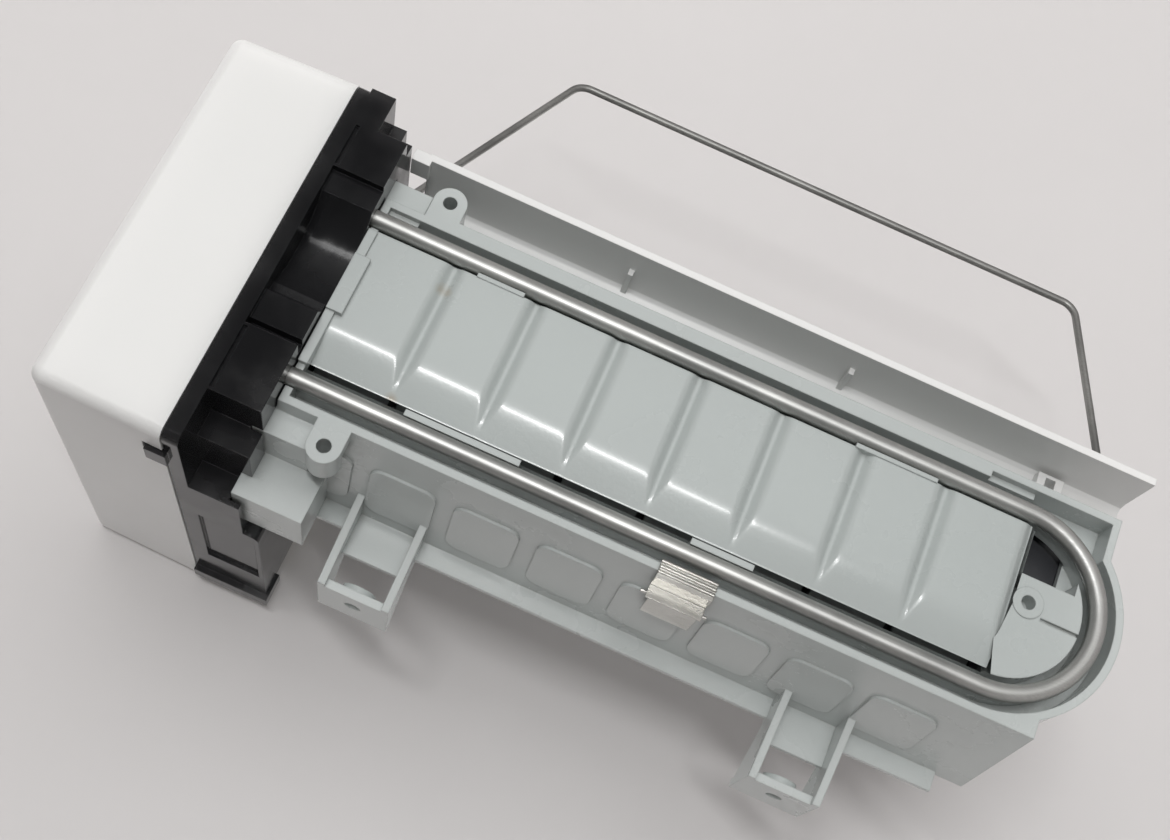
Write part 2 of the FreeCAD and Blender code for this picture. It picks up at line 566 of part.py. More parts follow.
# ---------------------------------------------------------------- ejector and its gears
def toothed(name, teeth, center, span, phase):
    """A spur gear: a disc at the root with one tooth, repeated round its axis."""
    body = doc.addObject("PartDesign::Body", name)
    body.Placement.Rotation = FreeCAD.Rotation(Vector(1, 0, 0), phase)
    shift(body, 0, *center)
    pitch = f"(gear_module * {teeth} / 2)"
    disc = body.newObject("Sketcher::SketchObject", name + "_disc")
    disc.addGeometry(Part.Circle(Vector(), Vector(0, 0, 1), 10), False)
    disc.addConstraint(Sketcher.Constraint("Coincident", 0, 3, -1, 1))
    size = disc.addConstraint(Sketcher.Constraint("Radius", 0, value(f"{pitch} - 1.15 * gear_module")))
    disc.setExpression(f"Constraints[{size}]", bound(f"{pitch} - 1.15 * gear_module"))
    tooth = body.newObject("Sketcher::SketchObject", name + "_tooth")
    for sketch in (disc, tooth):
        sketch.AttachmentSupport = [(origin_plane(body, "YZ_Plane"), "")]
        sketch.MapMode = "FlatFace"
        sketch.setExpression("AttachmentOffset.Base.z", bound(span[0]))
        sketch.Visibility = False
    root, tip = f"{pitch} - 1.5 * gear_module", f"{pitch} + 0.8 * gear_module"
    draw(tooth, [(root, "-1.02 * gear_module"), (pitch, "-0.66 * gear_module"), (tip, "-0.33 * gear_module"),
                 (tip, "0.33 * gear_module"), (pitch, "0.66 * gear_module"), (root, "1.02 * gear_module")])
    for sketch in (disc, tooth):
        pad = body.newObject("PartDesign::Pad", sketch.Name + "_pad")
        pad.Profile = sketch
        pad.setExpression("Length", bound(f"({span[1]}) - ({span[0]})"))
    ring = body.newObject("PartDesign::PolarPattern", name + "_teeth")
    ring.Originals = [pad]
    ring.Axis = (tooth, ["N_Axis"])
    ring.Angle = 360
    ring.setExpression("Occurrences", bound(teeth))
    body.Tip = ring
    return body


def polar(center, reach, direction):
    """The point at a distance from a center, in a direction in degrees from +Y towards +Z."""
    turn = f"({direction} * 1deg)"
    return f"({center[0]}) + ({reach}) * cos{turn}", f"({center[1]}) + ({reach}) * sin{turn}"


def meshed_phase(direction, driver_teeth, driver_phase, teeth):
    """The turn that puts a gear's teeth in the gaps of the gear it meets along a direction."""
    offset = (direction - driver_phase) * driver_teeth / 360
    return direction + 180 - (0.5 - offset) * 360 / teeth


CAM_CENTER = ("0", "ejector_height")
IDLER_CENTER = polar(CAM_CENTER, "gear_module * (cam_teeth + idler_teeth) / 2", "idler_direction")
PINION_CENTER = polar(IDLER_CENTER, "gear_module * (idler_teeth + pinion_teeth) / 2", "pinion_direction")
GEAR_SPAN = ("gear_back", "gear_back + gear_wall")
IDLER_PHASE = meshed_phase(SIZES["idler_direction"], SIZES["cam_teeth"], 0, SIZES["idler_teeth"])
PINION_PHASE = meshed_phase(SIZES["pinion_direction"], SIZES["idler_teeth"], IDLER_PHASE, SIZES["pinion_teeth"])


def ejector():
    """The ejector: a shaft with a tapered blade in each cavity and a stub for the cam gear."""
    parts = [rod("ejector_shaft", "x", CAM_CENTER, ("housing_front + 0.6", "tail_end - 10.6"), "shaft_radius"),
             rod("ejector_journal", "x", CAM_CENTER, ("module_back + module_wall", "housing_front + 0.6"),
                 "shaft_radius"),
             rod("ejector_tail", "x", CAM_CENTER, ("tail_end - 11", "tail_end"), "journal_radius"),
             rod("ejector_stub", "x", CAM_CENTER, ("stub_end", "module_back + module_wall"), "stub_radius")]
    for index in range(COUNT):
        place = f"row_start + {index + 0.5} * cavity_pitch"
        blade = prism(f"blade{index}", "x",
                      [(0, "-shaft_radius + 0.6"), ("blade_reach * 0.55", "-blade_wall / 2 - 0.5"),
                       ("blade_reach", "-blade_wall / 4"), ("blade_reach", "blade_wall / 4"),
                       ("blade_reach * 0.55", "blade_wall / 2 + 0.5"), (0, "shaft_radius - 0.6")],
                      (f"{place} - blade_width / 2", f"{place} + blade_width / 2"))
        round_edges(blade, 0.8, lambda edge: along(edge, "x") and middle(edge).y > 1)
        blade.Placement.Rotation = FreeCAD.Rotation(Vector(1, 0, 0), 30)
        blade.setExpression("Placement.Rotation.Angle", bound("blade_angle"))
        shift(blade, 0, *CAM_CENTER)
        parts.append(blade)
    return fuse("ejector", parts)


def cam_gear():
    """The gear on the ejector's stub, with the notched cam that works the switches."""
    gear = toothed("cam_teeth_ring", "cam_teeth", CAM_CENTER, GEAR_SPAN, 0)
    cam_span = ("gear_back - cam_wall - 0.4", "gear_back + 0.5")
    disc = rod("cam_disc", "x", CAM_CENTER, cam_span, "cam_radius")
    whole = fuse("cam_gear_whole", [gear, disc])
    bore = rod("cam_bore", "x", CAM_CENTER, ("gear_back - cam_wall - 2", "gear_back + gear_wall + 1"),
               "stub_radius + 0.02")
    notch = block("cam_notch", (cam_span[0] + " - 1", "gear_back - 0.1"), ("cam_radius - 3", "cam_radius + 2"),
                  ("ejector_height - 12", "ejector_height - 4"))
    windows = [rod(f"cam_window{turn}", "x", polar(CAM_CENTER, "cam_radius - 6.5", turn),
                   ("gear_back - cam_wall - 2", "gear_back + gear_wall + 1"), 3.2) for turn in range(30, 390, 60)]
    return cut("cam_gear", whole, [bore, notch] + windows)


def idler():
    """The idler between pinion and cam gear, on a fixed pin."""
    gear = toothed("idler_ring", "idler_teeth", IDLER_CENTER, GEAR_SPAN, IDLER_PHASE)
    bore = rod("idler_bore", "x", IDLER_CENTER, ("gear_back - 1", "gear_back + gear_wall + 1"),
               "idler_pin_radius + running_gap")
    return cut("idler_gear", gear, [bore])


def pinion():
    """The motor's pinion, bored for its shaft."""
    gear = toothed("pinion_ring", "pinion_teeth", PINION_CENTER, GEAR_SPAN, PINION_PHASE)
    bore = rod("pinion_bore", "x", PINION_CENTER, ("gear_back - 1", "gear_back + gear_wall + 1"),
               "idler_pin_radius + running_gap")
    return cut("motor_pinion", gear, [bore])


node("ejector", ejector())
node("cam_gear", cam_gear())
node("idler_gear", idler())
node("motor_pinion", pinion())
node("idler_pin", fuse("idler_pin", [
    rod("idler_pin_shank", "x", IDLER_CENTER, ("gear_back - 1.6", "module_back"), "idler_pin_radius"),
    rod("idler_pin_head", "x", IDLER_CENTER, ("gear_back - 2.4", "gear_back - 0.6"), "idler_pin_radius + 1.4")]))


# ---------------------------------------------------------------- module plate, motor, switches
MOTOR_CENTER = ("motor_side", "motor_height")
MOTOR_FRONT = "(motor_back + motor_depth)"
POSTS = [(f"motor_side + {way} * (motor_radius + post_reach)", "motor_height") for way in (-1, 1)]


def module_plate():
    """The plate behind the housing that carries motor, gears and switches."""
    plate = prism("module_sheet", "x", [("-module_half", "module_base"), ("module_half", "module_base"),
                                        ("module_half", "module_top"), ("-module_half", "module_top")],
                  ("module_back", "module_back + module_wall"))
    round_edges(plate, 4, lambda edge: along(edge, "x"))
    parts = [plate]
    parts += [rod(f"motor_post{index}", "x", post, (MOTOR_FRONT, "module_back + 0.5"), 3)
              for index, post in enumerate(POSTS)]
    parts += [rod(f"plate_foot{index}", "x", place, ("module_back + 0.5", "housing_back"), 4)
              for index, place in enumerate(PLATE_SCREWS)]
    holes = [rod("plate_shaft_hole", "x", CAM_CENTER, ("module_back - 1", "housing_back + 1"), "shaft_radius + 1"),
             rod("plate_sensor_hole", "x", SENSOR_CENTER, ("module_back - 1", "housing_back + 1"), 6),
             rod("plate_dial_hole", "x", DIAL_CENTER, ("module_back - 1", "housing_back + 1"), "2 + running_gap")]
    holes += [rod(f"plate_leg_hole{way}", "x", (f"{way} * tube_half", 0), ("module_back - 1", "housing_back + 1"),
                  "tube_radius + 1") for way in (-1, 1)]
    holes += [rod(f"plate_screw_hole{index}", "x", place, ("module_back - 1", "housing_back + 1"),
                  "screw_radius + 0.15") for index, place in enumerate(PLATE_SCREWS)]
    holes += [rod(f"post_hole{index}", "x", post, (f"{MOTOR_FRONT} - 1", f"{MOTOR_FRONT} + 7"), "screw_radius + 0.1")
              for index, post in enumerate(POSTS)]
    return cut("module_plate", fuse("module_whole", parts), holes)


def gear_motor():
    """The timing motor: a round can with two lugs and its output shaft."""
    can = rod("motor_can", "x", MOTOR_CENTER, ("motor_back", MOTOR_FRONT), "motor_radius")
    lugs = prism("motor_lugs", "x",
                 [("motor_side - motor_radius - 8", "motor_height - 4"),
                  ("motor_side + motor_radius + 8", "motor_height - 4"),
                  ("motor_side + motor_radius + 8", "motor_height + 4"),
                  ("motor_side - motor_radius - 8", "motor_height + 4")],
                 (f"{MOTOR_FRONT} - 1.2", MOTOR_FRONT))
    round_edges(lugs, 3.6, lambda edge: along(edge, "x"))
    shaft = rod("motor_shaft", "x", PINION_CENTER, (f"{MOTOR_FRONT} - 1", "gear_back + gear_wall"),
                "idler_pin_radius")
    collar = rod("motor_collar", "x", PINION_CENTER, (f"{MOTOR_FRONT} - 1", f"{MOTOR_FRONT} + 1.4"), 3.4)
    whole = fuse("motor_whole", [can, lugs, shaft, collar])
    return cut("gear_motor", whole, [rod(f"lug_clear{index}", "x", post, (f"{MOTOR_FRONT} - 3", f"{MOTOR_FRONT} + 1"),
                                         "screw_radius + 0.1") for index, post in enumerate(POSTS)])


SWITCHES = {
    # plunger tip, the way it points (axis and sign), and where the switch lies along X
    "holding_switch": (("cam_radius + 0.6", "ejector_height"), "y", -1, "gear_back - switch_wide - 0.5"),
    "water_switch": ((0, "ejector_height - cam_radius - 0.6"), "z", 1, "gear_back - switch_wide - 0.5"),
    "shutoff_switch": (("arm_side + 9.6", "arm_height"), "y", -1, "module_back - switch_wide"),
}


def switch(name):
    """A snap-action switch: its case with two screw holes and three blades, and its plunger."""
    tip, axis, way, start = SWITCHES[name]
    length = (start, f"{start} + switch_wide")
    facing = tip[0] if axis == "y" else tip[1]
    face = f"({facing}) - {way} * plunger_reach"
    back = f"{face} - {way} * switch_tall"
    deep = (back, face) if way > 0 else (face, back)
    across_center = tip[1] if axis == "y" else tip[0]
    across = (f"({across_center}) - switch_long / 2", f"({across_center}) + switch_long / 2")
    spans = (deep, across) if axis == "y" else (across, deep)
    case = block(name + "_case", length, *spans)
    plunger_span = (f"{face} - {way} * 4", facing) if way > 0 else (facing, f"{face} - {way} * 4")
    well_span = (f"{face} - {way} * 6", f"({facing}) + 1") if way > 0 else (f"({facing}) - 1", f"{face} - {way} * 6")
    center = (f"{start} + switch_wide / 2", across_center)
    holes = [rod(name + "_well", axis, center, well_span, "plunger_radius + running_gap")]
    screws = []
    middle_depth = f"(({face}) + ({back})) / 2 - {way} * 1.6"
    blades = []
    for index, offset in enumerate(("-switch_long / 2 + 4", "switch_long / 2 - 4")):
        side = f"({across_center}) + {offset}"
        spot = (middle_depth, side) if axis == "y" else (side, middle_depth)
        holes.append(rod(f"{name}_hole{index}", "x", spot, (f"{start} - 1", f"{start} + switch_wide + 1"), 1.3))
        screws.append((spot, start))
    for index, offset in enumerate((-6.5, 0, 6.5)):
        side = (f"({across_center}) + {offset} - 0.4", f"({across_center}) + {offset} + 0.4")
        ends = (f"{back} - {way} * 4", f"{back} + {way} * 1")
        ends = ends if way > 0 else ends[::-1]
        spread = (f"{start} + 1.4", f"{start} + switch_wide - 1.4")
        blades.append(block(f"{name}_blade{index}", spread, *((ends, side) if axis == "y" else (side, ends))))
    case = cut(name, fuse(name + "_whole", [case] + blades), holes)
    plunger = rod(name.replace("switch", "plunger"), axis, center, plunger_span, "plunger_radius")
    return case, plunger, screws


node("module_plate", module_plate())
node("gear_motor", gear_motor())
node("motor_screws", group("motor_screws", [screw(f"motor_screw{index}", "x", post, f"{MOTOR_FRONT} - 1.2", 1, 7)
                                            for index, post in enumerate(POSTS)]))
node("plate_screws", group("plate_screws", [screw(f"plate_screw{index}", "x", place, "module_back", 1, 7)
                                            for index, place in enumerate(PLATE_SCREWS)]))
switch_screws = []
for switch_name in SWITCHES:
    case, plunger, spots = switch(switch_name)
    node(switch_name, case)
    node(switch_name.replace("switch", "plunger"), plunger)
    for index, (spot, start) in enumerate(spots):
        shank = rod(f"{switch_name}_screw{index}_shank", "x", spot, (f"{start} - 0.2", f"{start} + switch_wide"), 1.15)
        cap = rod(f"{switch_name}_screw{index}_head", "x", spot, (f"{start} - 1.4", start), 2.2)
        switch_screws.append(fuse(f"{switch_name}_screw{index}", [shank, cap]))
node("switch_screws", group("switch_screws", switch_screws))


def adjuster():
    """The water level screw with its slotted dial."""
    center = DIAL_CENTER
    dial = rod("dial", "x", center, ("module_back - 7", "module_back - 4"), "dial_radius")
    shank = rod("dial_shank", "x", center, ("module_back - 4.5", "module_back + module_wall + 2"), 2)
    slot = block("dial_slot", ("module_back - 8", "module_back - 5.8"),
                 ("dial_side - dial_radius + 1", "dial_side + dial_radius - 1"),
                 ("dial_height - 0.6", "dial_height + 0.6"))
    return cut("water_adjust_screw", fuse("dial_whole", [dial, shank]), [slot])


node("water_adjust_screw", adjuster())


# ---------------------------------------------------------------- thermostat, connector
def thermostat():
    """The bimetal thermostat: a metal cap against the mould and a case behind it."""
    center = SENSOR_CENTER
    return fuse("thermostat", [rod("sensor_cap", "x", center, ("mold_front - 5.2", "mold_front - 0.3"), 6.8),
                               rod("sensor_rim", "x", center, ("mold_front - 4.6", "mold_front - 3.2"), 7.6),
                               rod("sensor_case", "x", center, ("mold_front - 13", "mold_front - 5"), 7.4)])


def sensor_clip():
    """The spring strip that presses the thermostat on the mould."""
    back = "mold_front - 13.2"
    strip = block("clip_strip", (f"{back} - 1", back), (3.6, 20.4), (15.5, 20.5))
    legs = [block(f"clip_leg{index}", (f"{back} - 1", "housing_front - 1"), side, (15.5, 20.5))
            for index, side in enumerate(((3.4, 4.2), (19.8, 20.6)))]
    return fuse("thermostat_clip", [strip] + legs)


node("thermostat", thermostat())
node("thermostat_clip", sensor_clip())


def socket():
    """The six-way connector socket, open upwards, set in the top of the housing."""
    case = block("socket_case", (-16, -4), (20, 44), ("housing_top - 12", "housing_top + 3"))
    well = block("socket_well", (-14.2, -5.8), (21.8, 42.2), ("housing_top - 9", "housing_top + 4"))
    key = block("socket_key", (-6.6, -5), (29, 35), ("housing_top - 8", "housing_top + 3"))
    holes = [rod(f"pin_seat{index}", "z", place, ("housing_top - 13", "housing_top - 8"), "contact_radius")
             for index, place in enumerate(PINS)]
    return cut("connector_socket", fuse("socket_whole", [case, key]), [well] + holes)


PINS = [(x, y) for x in (-12.4, -7.6) for y in (26, 32, 38)]
node("connector_socket", socket())
node("connector_pins", group("connector_pins", [
    rod(f"pin{index}", "z", place, ("housing_top - 11.8", "housing_top - 3"), "contact_radius")
    for index, place in enumerate(PINS)]))


# ---------------------------------------------------------------- stripper
def stripper():
    """The white stripper: fingers over the cavities, a rail on the mould and a flared skirt."""
    low, high = "finger_level", "finger_level + finger_wall"
    skirt = prism("skirt", "x",
                  [("3 - flange_half", high), ("-flange_half - 1.6", high), ("-flange_half - 3.6", f"{low} - 0.5"),
                   ("-flange_half - 4.8", 31), ("-flange_half - 6.2", 29.2), ("-flange_half - 11.6", 27.4),
                   ("-flange_half - 12.8", 25.6), ("-flange_half - 13.2", 22), ("-flange_half - 13.6", 4),
                   ("-flange_half - 11.4", 4), ("-flange_half - 13.2 + skirt_wall", 22),
                   ("-flange_half - 12.8 + skirt_wall", 24.6), ("-flange_half - 11.6 + skirt_wall", 25.7),
                   ("-flange_half - 6.2 + skirt_wall", 27.5), ("-flange_half - 4.8 + skirt_wall", 30),
                   ("-flange_half - 3.6 + skirt_wall", f"{low} - 1"), ("-flange_half - 1.2", low),
                   ("3 - flange_half", low)], ("skirt_start", "skirt_end"))
    parts = [skirt]
    for index in range(COUNT + 1):
        place = f"(row_start + {index} * cavity_pitch)"
        width = "finger_width / 2"
        span = (f"{place} - {width}", f"{place} + {width}")
        if index == 0:
            span = ("skirt_start", f"{place} + {width}")
        if index == COUNT:
            span = (f"{place} - {width}", f"row_end + 0.3")
        finger = prism(f"finger{index}", "x", [("2 - flange_half", high), ("2 - flange_half", low), ("-finger_tip - 3", low),
                                               ("-finger_tip", f"{low} + 0.6"), ("-finger_tip", f"{low} + 1.2")], span)
        parts.append(finger)
    for index, place in enumerate((2.79, 5.63)):
        middle_x = f"row_start + {place} * cavity_pitch"
        parts.append(block(f"skirt_rib{index}", (f"{middle_x} - 0.8", f"{middle_x} + 0.8"),
                           ("-flange_half - 12.4", "-flange_half - 9.4"), (14, 26.4)))
    parts.append(block("end_tab", ("row_end + 4.9", "row_end + 12.9"), ("-flange_half - 10", "-flange_half - 2"),
                       (22, 27)))
    parts.append(block("housing_hook", ("skirt_start - 4.5", "skirt_start + 1"),
                       ("-flange_half - 13.2", "-flange_half - 9.6"), (4, 12)))
    parts.append(block("arm_ear", ("arm_far_root - 10", "arm_far_root - 7.6"), ("arm_side - 4", "-flange_half - 5"),
                       ("arm_height - 5.5", "arm_height + 5.5")))
    whole = fuse("stripper_whole", parts)
    holes = [rod("arm_ear_hole", "x", ("arm_side", "arm_height"), ("arm_far_root - 12", "arm_far_root - 5"),
                 "wire_radius + 0.08"),
             block("tab_slot", ("row_end + 7.4", "row_end + 10.4"), ("-flange_half - 9", "-flange_half - 3"), (20, 28))]
    holes += [rod(f"stripper_hole{index}", "z", place, ("finger_level - 5", "finger_level + 7"),
                  "screw_radius + 0.2") for index, place in enumerate(STRIPPER_SCREWS)]
    return cut("stripper", whole, holes)


STRIPPER_SCREWS = [(f"row_start + {place} * cavity_pitch", "1 - flange_half") for place in (0.486, 3.996, 7.506)]
node("stripper", stripper())
node("stripper_screws", group("stripper_screws", [
    screw(f"stripper_screw{index}", "z", place, "finger_level + finger_wall", -1, "finger_wall - 0.2")
    for index, place in enumerate(STRIPPER_SCREWS)]))


# ---------------------------------------------------------------- fill cup
def fill_cup():
    """The dark cup at the far end: rear bearing of the ejector and inlet for the water."""
    start = "row_end + end_wall / 2"
    low = (f"{start} + 1.9", f"mold_tail - end_wall - 0.4")
    bearing = block("cup_bearing", low, (-28, 28), (12, "mold_height + 3"))
    shelf = block("cup_shelf", (f"{start} - 0.6", f"mold_tail + 3"), (-34, 34), ("mold_height + 0.2", "mold_height + 4"))
    bowl = prism("cup_bowl", "x", [(-16, "mold_height + 2"), (-26, 78), (26, 78), (16, "mold_height + 2")],
                 (f"{start} - 0.4", f"mold_tail + 6"))
    spout = block("cup_spout", (f"{start} - 7", f"{start} + 2"), (-7, 7), (54, 66))
    whole = fuse("cup_whole", [bearing, shelf, bowl, spout])
    inside = prism("cup_inside", "x", [(-14, 52), (-23.8, 79), (23.8, 79), (14, 52)],
                   (f"{start} + 1.6", f"mold_tail + 4"))
    chute = block("spout_inside", (f"{start} - 8", f"{start} + 4"), (-5.2, 5.2), (56, 67))
    under = [block(f"cup_under{way}", (low[0] + " - 1", low[1] + " + 1"), (8, 25) if way > 0 else (-25, -8),
                   (26, "mold_height - 2")) for way in (-1, 1)]
    bore = rod("cup_bore", "x", CAM_CENTER, (f"{start} - 2", "tail_end + 1"), "journal_radius + running_gap")
    return cut("fill_cup", whole, [inside, chute, bore] + under)


node("fill_cup", fill_cup())


# ---------------------------------------------------------------- thermal fuse and its clip
def fuse_clip():
    """The ridged spring clip that hooks over the rim and holds the fuse against the casting."""
    span = ("clip_place - 8", "clip_place + 8")
    hook = block("clip_hook", span, ("rim_half - 3", "rim_half + 2.4"), (-1.4, -0.5))
    drop = block("clip_drop", span, ("rim_half + 1.6", "rim_half + 2.4"), (-1.4, 7))
    plate = block("clip_plate", ("clip_place - 7", "clip_place + 7"), ("rim_half + 5.2", "rim_half + 6"), (6, 19))
    shelf = block("clip_shelf", span, ("rim_half + 1.6", "rim_half + 6"), (6, 6.8))
    ridges = [rod(f"clip_ridge{index}", "x", ("rim_half - 2.4 + 1.5 * {}".format(index), -1.3), span, 0.5)
              for index in range(3)]
    return fuse("fuse_clip", [hook, drop, plate, shelf] + ridges)


FUSE_CENTER = ("rim_half + 3.7", 9.4)
node("fuse_clip", fuse_clip())
node("thermal_fuse", fuse("thermal_fuse", [
    rod("fuse_case", "x", FUSE_CENTER, ("clip_place - 6", "clip_place + 6"), 1.4),
    rod("fuse_lead_a", "x", FUSE_CENTER, ("clip_place - 9.5", "clip_place - 6"), 0.5),
    rod("fuse_lead_b", "x", FUSE_CENTER, ("clip_place + 6", "clip_place + 9.5"), 0.5)]))


# ---------------------------------------------------------------- shut-off arm
def bent_wire(points, bends, radius):
    """A round wire along straight runs joined by tangent arcs."""
    edges = []
    start = points[0]
    for before, corner, after, bend in zip(points, points[1:], points[2:], bends):
        back, ahead = (before - corner).normalize(), (after - corner).normalize()
        half = back.getAngle(ahead) / 2
        reach = bend / abs(math.tan(half))
        first, last = corner + back * reach, corner + ahead * reach
        inward = (back + ahead).normalize()
        center = corner + inward * (bend / math.sin(half))
        edges += [Part.LineSegment(start, first).toShape(),
                  Part.Arc(first, center - inward * bend, last).toShape()]
        start = last
    edges.append(Part.LineSegment(start, points[-1]).toShape())
    path = Part.Wire(edges)
    section = Part.Wire([Part.makeCircle(radius, points[0], points[1] - points[0])])
    return path.makePipeShell([section], True, False)


def arm():
    """The steel wire bail."""
    root = (value("arm_side - " + MOUNT[1]), value("arm_height - " + MOUNT[2]))
    outer = (root[0] - value("arm_reach"), root[1] + value("arm_rise"))
    mount_x = value(MOUNT[0])

    def at(x, place):
        return Vector(value(x) - mount_x, *place)
    points = [at("arm_inside", root), at("arm_near_root", root), at("arm_near", outer), at("arm_far", outer),
              at("arm_far_root", root), at("arm_far_root - 13", root)]
    bends = [value(name) for name in ("arm_root_bend", "arm_bend", "arm_bend", "arm_root_bend")]
    wire = doc.addObject("Part::Feature", "shutoff_arm")
    wire.Shape = bent_wire(points, bends, value("wire_radius"))
    return wire


def lever():
    """The lever clamped on the arm inside the cover; its tip faces the shut-off plunger."""
    center = ("arm_side", "arm_height")
    span = ("module_back - 5.5", "module_back - 1.5")
    hub = rod("lever_hub", "x", center, span, 2.5)
    finger = prism("lever_finger", "x", [("arm_side", "arm_height - 2"), ("arm_side + 9", "arm_height - 1.6"),
                                         ("arm_side + 9", "arm_height + 1.2"), ("arm_side", "arm_height + 2")], span)
    return cut("shutoff_lever", fuse("lever_whole", [hub, finger]),
               [rod("lever_bore", "x", center, ("module_back - 7", "module_back"), "wire_radius")])


node("shutoff_arm", arm())
node("shutoff_lever", lever())


# ---------------------------------------------------------------- writing
doc.recompute()
for obj in doc.Objects:
    if "Invalid" in obj.State or "Error" in obj.State:
        raise RuntimeError(f"{obj.Name} failed: {obj.State}")
os.makedirs("parts", exist_ok=True)
for obj in nodes:
    shape = obj.Shape
    if shape.isNull() or not shape.isValid():
        raise RuntimeError(f"{obj.Label} has no valid shape")
    shape.exportStep(f"parts/{obj.Label}.step")
    print(obj.Label, len(shape.Solids), round(shape.Volume / 1000, 2), shape.BoundBox)
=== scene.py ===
"""Looks of a crescent ice maker: materials, softened mouldings and castings, fasteners and studio.

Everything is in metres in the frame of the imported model: +X along the cavities, +Y into the wall and +Z up.
"""
import bmesh
import bpy
import json
import math
from mathutils import Matrix, Vector


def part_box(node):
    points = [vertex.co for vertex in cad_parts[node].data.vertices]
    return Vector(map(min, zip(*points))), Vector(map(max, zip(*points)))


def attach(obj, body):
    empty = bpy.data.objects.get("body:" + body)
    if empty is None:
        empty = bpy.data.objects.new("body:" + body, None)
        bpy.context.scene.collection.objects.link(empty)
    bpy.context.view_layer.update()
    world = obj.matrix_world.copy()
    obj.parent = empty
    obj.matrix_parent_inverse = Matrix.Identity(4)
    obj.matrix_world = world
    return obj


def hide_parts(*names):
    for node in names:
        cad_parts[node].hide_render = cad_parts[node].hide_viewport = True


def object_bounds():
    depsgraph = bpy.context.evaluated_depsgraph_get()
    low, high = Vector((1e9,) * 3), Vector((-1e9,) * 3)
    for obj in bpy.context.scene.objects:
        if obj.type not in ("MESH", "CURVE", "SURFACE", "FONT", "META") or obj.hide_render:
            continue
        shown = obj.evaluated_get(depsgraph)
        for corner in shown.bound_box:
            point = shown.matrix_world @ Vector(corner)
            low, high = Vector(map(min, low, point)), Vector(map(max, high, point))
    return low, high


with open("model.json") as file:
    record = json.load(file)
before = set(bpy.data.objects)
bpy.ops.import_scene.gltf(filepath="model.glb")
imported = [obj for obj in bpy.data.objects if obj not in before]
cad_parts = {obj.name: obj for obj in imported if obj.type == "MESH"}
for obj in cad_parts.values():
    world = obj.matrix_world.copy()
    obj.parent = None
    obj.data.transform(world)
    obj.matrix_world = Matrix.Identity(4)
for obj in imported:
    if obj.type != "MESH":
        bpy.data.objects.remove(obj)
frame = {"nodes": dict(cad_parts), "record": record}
CAD_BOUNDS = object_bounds()
MM = 0.001


# ---------------------------------------------------------------- shader groups

def new_group(name, inputs, outputs):
    """An empty shader node group; inputs and outputs are (name, socket type, default)."""
    tree = bpy.data.node_groups.new(name, "ShaderNodeTree")
    for direction, sockets in (("INPUT", inputs), ("OUTPUT", outputs)):
        for label, kind, default in sockets:
            socket = tree.interface.new_socket(name=label, in_out=direction, socket_type=kind)
            if default is not None:
                socket.default_value = default
    return tree, tree.nodes.new("NodeGroupInput"), tree.nodes.new("NodeGroupOutput")


def add(tree, kind, **settings):
    """A node with its settings and the defaults of its named or numbered inputs."""
    made = tree.nodes.new(kind)
    for key, setting in settings.pop("inputs", {}).items():
        made.inputs[key].default_value = setting
    for key, setting in settings.items():
        setattr(made, key, setting)
    return made


def math_node(tree, operation, first, second=None, clamp=False):
    """A Math node on sockets or numbers; returns its output."""
    made = add(tree, "ShaderNodeMath", operation=operation, use_clamp=clamp)
    for index, source in enumerate((first, second)):
        if source is None:
            continue
        if isinstance(source, (int, float)):
            made.inputs[index].default_value = source
        else:
            tree.links.new(source, made.inputs[index])
    return made.outputs[0]


def ramp(tree, source, low, high, to_low=0.0, to_high=1.0):
    """A smooth remap of a value."""
    made = add(tree, "ShaderNodeMapRange", interpolation_type="SMOOTHSTEP")
    for label, number in (("From Min", low), ("From Max", high), ("To Min", to_low), ("To Max", to_high)):
        made.inputs[label].default_value = number
    tree.links.new(source, made.inputs["Value"])
    return made.outputs["Result"]


def mix_color(tree, factor, first, second):
    """A colour mix of sockets or colours; returns its output."""
    made = add(tree, "ShaderNodeMix", data_type="RGBA")
    sockets = (made.inputs["Factor"], made.inputs[6], made.inputs[7])
    for socket, source in zip(sockets, (factor, first, second)):
        if isinstance(source, (int, float)):
            socket.default_value = source
        elif isinstance(source, tuple):
            socket.default_value = (*source, 1.0)
        else:
            tree.links.new(source, socket)
    return made.outputs[2]


def noise(tree, position, scale, detail=3.0, roughness=0.5):
    """Noise over object coordinates in metres; returns its value from 0 to 1."""
    made = add(tree, "ShaderNodeTexNoise", inputs={"Detail": detail, "Roughness": roughness})
    tree.links.new(position, made.inputs["Vector"])
    if isinstance(scale, (int, float)):
        made.inputs["Scale"].default_value = scale
    else:
        tree.links.new(scale, made.inputs["Scale"])
    return made.outputs["Fac"]


def make_grain():
    """Fine surface height: orange peel of a coating or the spark texture of a mould."""
    tree, given, out = new_group(
        "grain", [("Scale", "NodeSocketFloat", 900.0), ("Waviness", "NodeSocketFloat", 0.4)],
        [("Height", "NodeSocketFloat", None)])
    place = add(tree, "ShaderNodeTexCoord").outputs["Object"]
    fine = noise(tree, place, given.outputs["Scale"])
    coarse_scale = math_node(tree, "MULTIPLY", given.outputs["Scale"], 0.12)
    coarse = noise(tree, place, coarse_scale, 2.0)
    share = math_node(tree, "MULTIPLY", coarse, given.outputs["Waviness"])
    tree.links.new(math_node(tree, "ADD", fine, share), out.inputs["Height"])
    return tree


